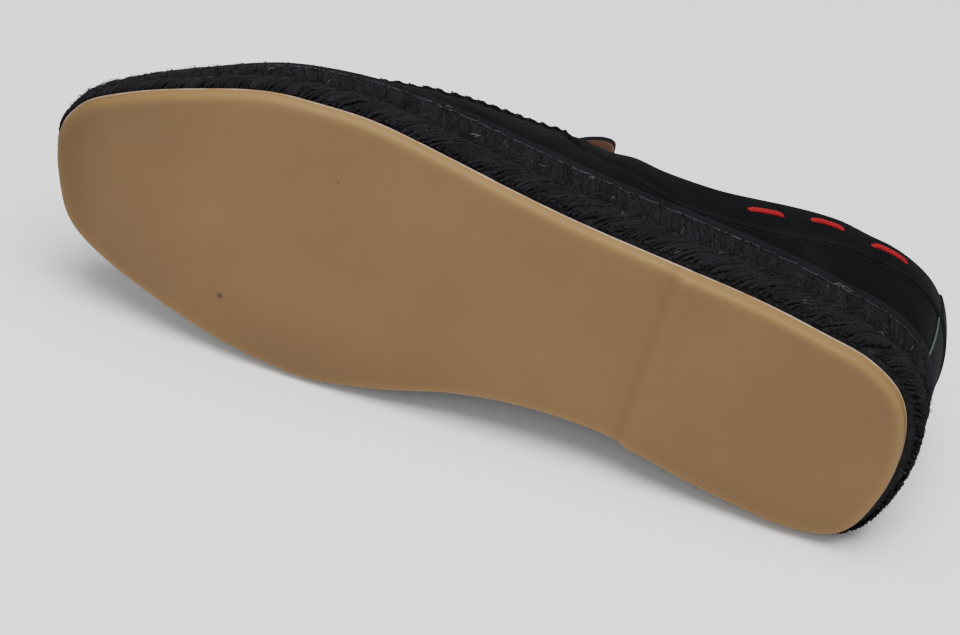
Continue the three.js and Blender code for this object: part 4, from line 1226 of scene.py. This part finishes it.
def makeMargin():
    steps = 560
    shape = newShape()
    rows = []
    for i in range(steps + 1):
        lap = lapTotal * i / steps
        high = margin["height"] + 0.35 * noise.noise(Vector((lap / 9, 5, 0)))
        rows.append([wallPoint(lap, high, -0.3), wallPoint(lap, high, margin["raised"] * 0.55),
                     wallPoint(lap, high - 0.5, margin["raised"]),
                     wallPoint(lap, high * 0.45, margin["raised"] + 0.15),
                     edgePoint(lap, 0.05), edgePoint(lap, -0.75), wallPoint(lap, 0.3, -0.3),
                     wallPoint(lap, high, -0.3)])
    layGrid(shape, rows, 0, True)
    return makePiece("upper_margin", shape, [suedeMaterial], merge=True, smooth=60)


makeMargin()


def makeCutEdge():
    steps = 640
    shape = newShape()
    path = [edgePoint(lapTotal * i / steps, -0.12) for i in range(steps + 1)]
    layTube(shape, path, Vector((0, 0, 1)), 0.75, margin["edge"], 6)
    return makePiece("upper_cut_edge", shape, [cutEdgeMaterial], smooth=80)


makeCutEdge()

# Sewing thread: waxed linen, black, round and slightly shiny
threadMaterial, threadTree, threadShader = newMaterial("waxed linen thread, black", {
    "Roughness": 0.6, "IOR": 1.5, "Specular IOR Level": 0.1})
threadRun = addNode(threadTree, "UVMap", {"uv_map": "run"})
threadWave = addNode(threadTree, "TexWave", {"Scale": 3.0, "bands_direction": "DIAGONAL"},
                     {"Vector": threadRun.outputs[0]})
threadRamp = addNode(threadTree, "ValToRGB", {"stops": [(0.2, hexColour("#0a0a0c")),
                                                        (0.9, hexColour("#232327"))]},
                     {0: threadWave.outputs[0]})
threadBump = addNode(threadTree, "Bump", {"Strength": 0.4, "Distance": 0.0002},
                     {"Height": threadWave.outputs[0]})
wire(threadTree, threadShader, {"Base Color": threadRamp, "Normal": threadBump})


def makeSoleThreads():
    rng = random.Random(31)
    shape = newShape()
    count = round(lapTotal / margin["pitch"])
    for i in range(count):
        lap = lapTotal * i / count + rng.uniform(-0.4, 0.4)
        slant = rng.uniform(-1.4, -0.6)
        tall = shoe["rope"] * column(outlineTable, "rope", shareOf(around(lap)[0]))
        down = margin["threadDown"] * rng.uniform(0.8, 1.2)
        path = [wallPoint(lap, 1.3, 0.4), wallPoint(lap, 1.0, margin["raised"] + 0.2),
                wallPoint(lap + 0.1 * slant, 0.4, margin["raised"] + 0.25),
                edgePoint(lap + 0.3 * slant, 0.25),
                ropePoint(lap + 0.7 * slant, 1 - 0.6 * down / tall, 0.7),
                ropePoint(lap + slant, 1 - down / tall, 0.3),
                ropePoint(lap + 1.1 * slant, 1 - 1.15 * down / tall, -0.6)]
        outward = (ropePoint(lap, 0.8, 2) - ropePoint(lap, 0.8, 1)).normalized()
        layTube(shape, smoothPath(path, 12), outward, margin["thread"], margin["thread"], 6,
                tone=rng.random())
    return makePiece("sole_threads", shape, [threadMaterial], smooth=80)


makeSoleThreads()


def makeStitches():
    # fine stitches below the collar's band, each a short thread that dives into the suede at both ends
    shape = newShape()
    for side in (1, -1):
        turns = [i / 700 for i in range(701) if 6 < shoe["length"] * shareOf(i / 700) < 122]
        line = []
        for turn in turns:
            facts = wallFacts(turn, side)
            high = facts["line"] - 1.3 / facts["length"]
            line.append((turn, high, onCurve(facts["curve"], high)))
        lengths = [0]
        for a, b in zip(line, line[1:]):
            lengths.append(lengths[-1] + (b[2] - a[2]).length)
        pitch, stitch = 2.6, 1.9
        for k in range(int(lengths[-1] / pitch)):
            path = []
            for t, out in ((0, -0.35), (0.12, 0.1), (0.35, 0.2), (0.65, 0.2), (0.88, 0.1), (1, -0.35)):
                goal = k * pitch + t * stitch
                i = min(max(bisect.bisect_left(lengths, goal) - 1, 0), len(line) - 2)
                part = (goal - lengths[i]) / (lengths[i + 1] - lengths[i])
                turn = mix(line[i][0], line[i + 1][0], part)
                path.append(onCurve(sectionCurve(turn, side, -out), mix(line[i][1], line[i + 1][1], part)))
            layTube(shape, path, Vector((0, side, 0.4)), 0.42, 0.4, 5)
    return makePiece("collar_stitches", shape, [threadMaterial], smooth=80)


makeStitches()


def makeApronStitches():
    # hand sewing over the apron seam: one thread across the ridge in each dip between its puckers
    shape = newShape()
    for side in (1, -1):
        turns = [i / 900 for i in range(901)
                 if shoe["throat"] + 2 < shoe["length"] * shareOf(i / 900) < shoe["apronFront"]]
        run, before, nextAt = 0, None, 0
        for turn in turns:
            facts = wallFacts(turn, side)
            p = onCurve(facts["curve"], facts["line"])
            run += (p - before).length if before else 0
            before = p
            if run < nextAt:
                continue
            nextAt += upperPlan["puckerPitch"]
            path = []
            for away, out in ((-2, -0.4), (-1.6, 0.1), (-0.9, 0.95), (0, 1.5), (0.9, 0.95), (1.6, 0.1),
                              (2, -0.4)):
                climb = min(facts["line"] + away / facts["length"], 1)
                path.append(onCurve(sectionCurve(turn, side, -out), climb))
            layTube(shape, smoothPath(path, 11), Vector((1, 0, 0)), 0.6, 0.6, 6)
    return makePiece("apron_stitches", shape, [threadMaterial], smooth=80)


makeApronStitches()


def makeStayEdge():
    # the cut front edge of the back stay, paler than the nap
    shape = newShape()
    for side in (1, -1):
        turn = turnOf((shoe["counter"] + 0.2) / shoe["length"])
        facts = wallFacts(turn, side)
        path = [onCurve(sectionCurve(turn, side, -0.45), mix(0.02, facts["line"], i / 24)) for i in range(25)]
        layTube(shape, path, Vector((0, side, 0)), 0.7, 0.9, 6)
    return makePiece("stay_edge", shape, [stayEdgeMaterial], smooth=80)


makeStayEdge()


def makeLaceDashes():
    # the lace shows between slits in the collar and dives into them at both ends
    for side, sideName in ((1, "outer"), (-1, "inner")):
        for i, (spot, drop) in enumerate(shoe["laceDashes"]):
            shape = newShape()
            path = []
            for along, out in ((-0.56, -1.1), (-0.5, -0.3), (-0.43, 0.5), (-0.27, 0.8), (0, 0.85),
                               (0.27, 0.8), (0.43, 0.5), (0.5, -0.3), (0.56, -1.1)):
                turn = turnOf((spot + along * shoe["laceDash"]) / shoe["length"])
                flat = sectionCurve(turn, side, 0)
                climb = topClimb(flat, turn) - drop / curveLength(flat)
                path.append(onCurve(sectionCurve(turn, side, -shoe["bandRaise"] - 0.15 - out + 0.75), climb))
            layTube(shape, smoothPath(path, 22), Vector((0, side, 0.3)), 2.4, 1.7, lace["sides"])
            makePiece(f"lace_dash_{sideName}_{i + 1}_cord", shape, [laceMaterial],
                      [f"lace_dash_{sideName}_{i + 1}"], smooth=80)


makeLaceDashes()


# The insole stands clear of the wall by more towards the toe: by how much, between which shares of the length
insoleSteps = [(2.8, 0.2, 0.6), (7, 0.92, 1)]


def makeInsole():
    # a leather sock with a softly rolled edge
    turns = [i / 110 for i in range(111)]
    levels = [(0.5, 0), (0.1, 0.25), (0, 0.8), (0, 1.4), (0.2, 1.8), (0.6, 2)]
    rings = []
    for inset, height in levels:
        def ring(turn, side, inset=inset, height=height):
            share = shareOf(turn)
            drawnIn = sum(by * ease((share - start) / (end - start)) for by, start, end in insoleSteps)
            clear = shoe["wall"] + shoe["gap"] + drawnIn
            return (ropeEdge(share) - shoe["feather"] - clear - inset, ropeTop(share) + shoe["gap"] + height)
        rings.append(ring)
    shape = newShape()
    layRings(shape, turns, rings, [0.5] * len(levels))
    return makePiece("insole_leather", shape, [liningMaterial], ["insole"], merge=True)


makeInsole()
print("upper's trimmings made")


# A pale floor that runs on past the view, and soft light from a big tent of panels
studio = {"floor": "#f4f4f4", "world": 0.3, "panels": [
    {"name": "topPanel", "at": (0.1, -0.28, 1.6), "size": 1.2, "power": 50},
    {"name": "frontPanel", "at": (-0.35, -1.2, 0.75), "size": 1.0, "power": 7}]}


def makeStudio():
    bpy.ops.object.select_all(action="DESELECT")
    bpy.ops.mesh.primitive_plane_add(size=8, location=(0, 0, -0.0002))
    floor = bpy.context.object
    floor.name = "studioFloor"
    bpy.ops.object.transform_apply(location=True, rotation=True, scale=True)
    material, tree, shader = newMaterial("matt white paper", {"Roughness": 0.9, "Specular IOR Level": 0.1})
    shader.inputs["Base Color"].default_value = hexColour(studio["floor"])
    floor.data.materials.append(material)
    world = bpy.data.worlds.new("studioAir")
    world.use_nodes = True
    sky = world.node_tree.nodes["Background"]
    sky.inputs[0].default_value = (1, 1, 1, 1)
    sky.inputs[1].default_value = studio["world"]
    bpy.context.scene.world = world
    for panel in studio["panels"]:
        data = bpy.data.lights.new(panel["name"], "AREA")
        data.shape, data.size, data.energy = "SQUARE", panel["size"], panel["power"]
        light = bpy.data.objects.new(panel["name"], data)
        bpy.context.scene.collection.objects.link(light)
        light.location = panel["at"]
        light.rotation_mode = "QUATERNION"
        light.rotation_quaternion = (Vector(panel["at"]) - Vector((0, 0, 0.04))).to_track_quat("Z", "Y")


makeStudio()
print("studio made")
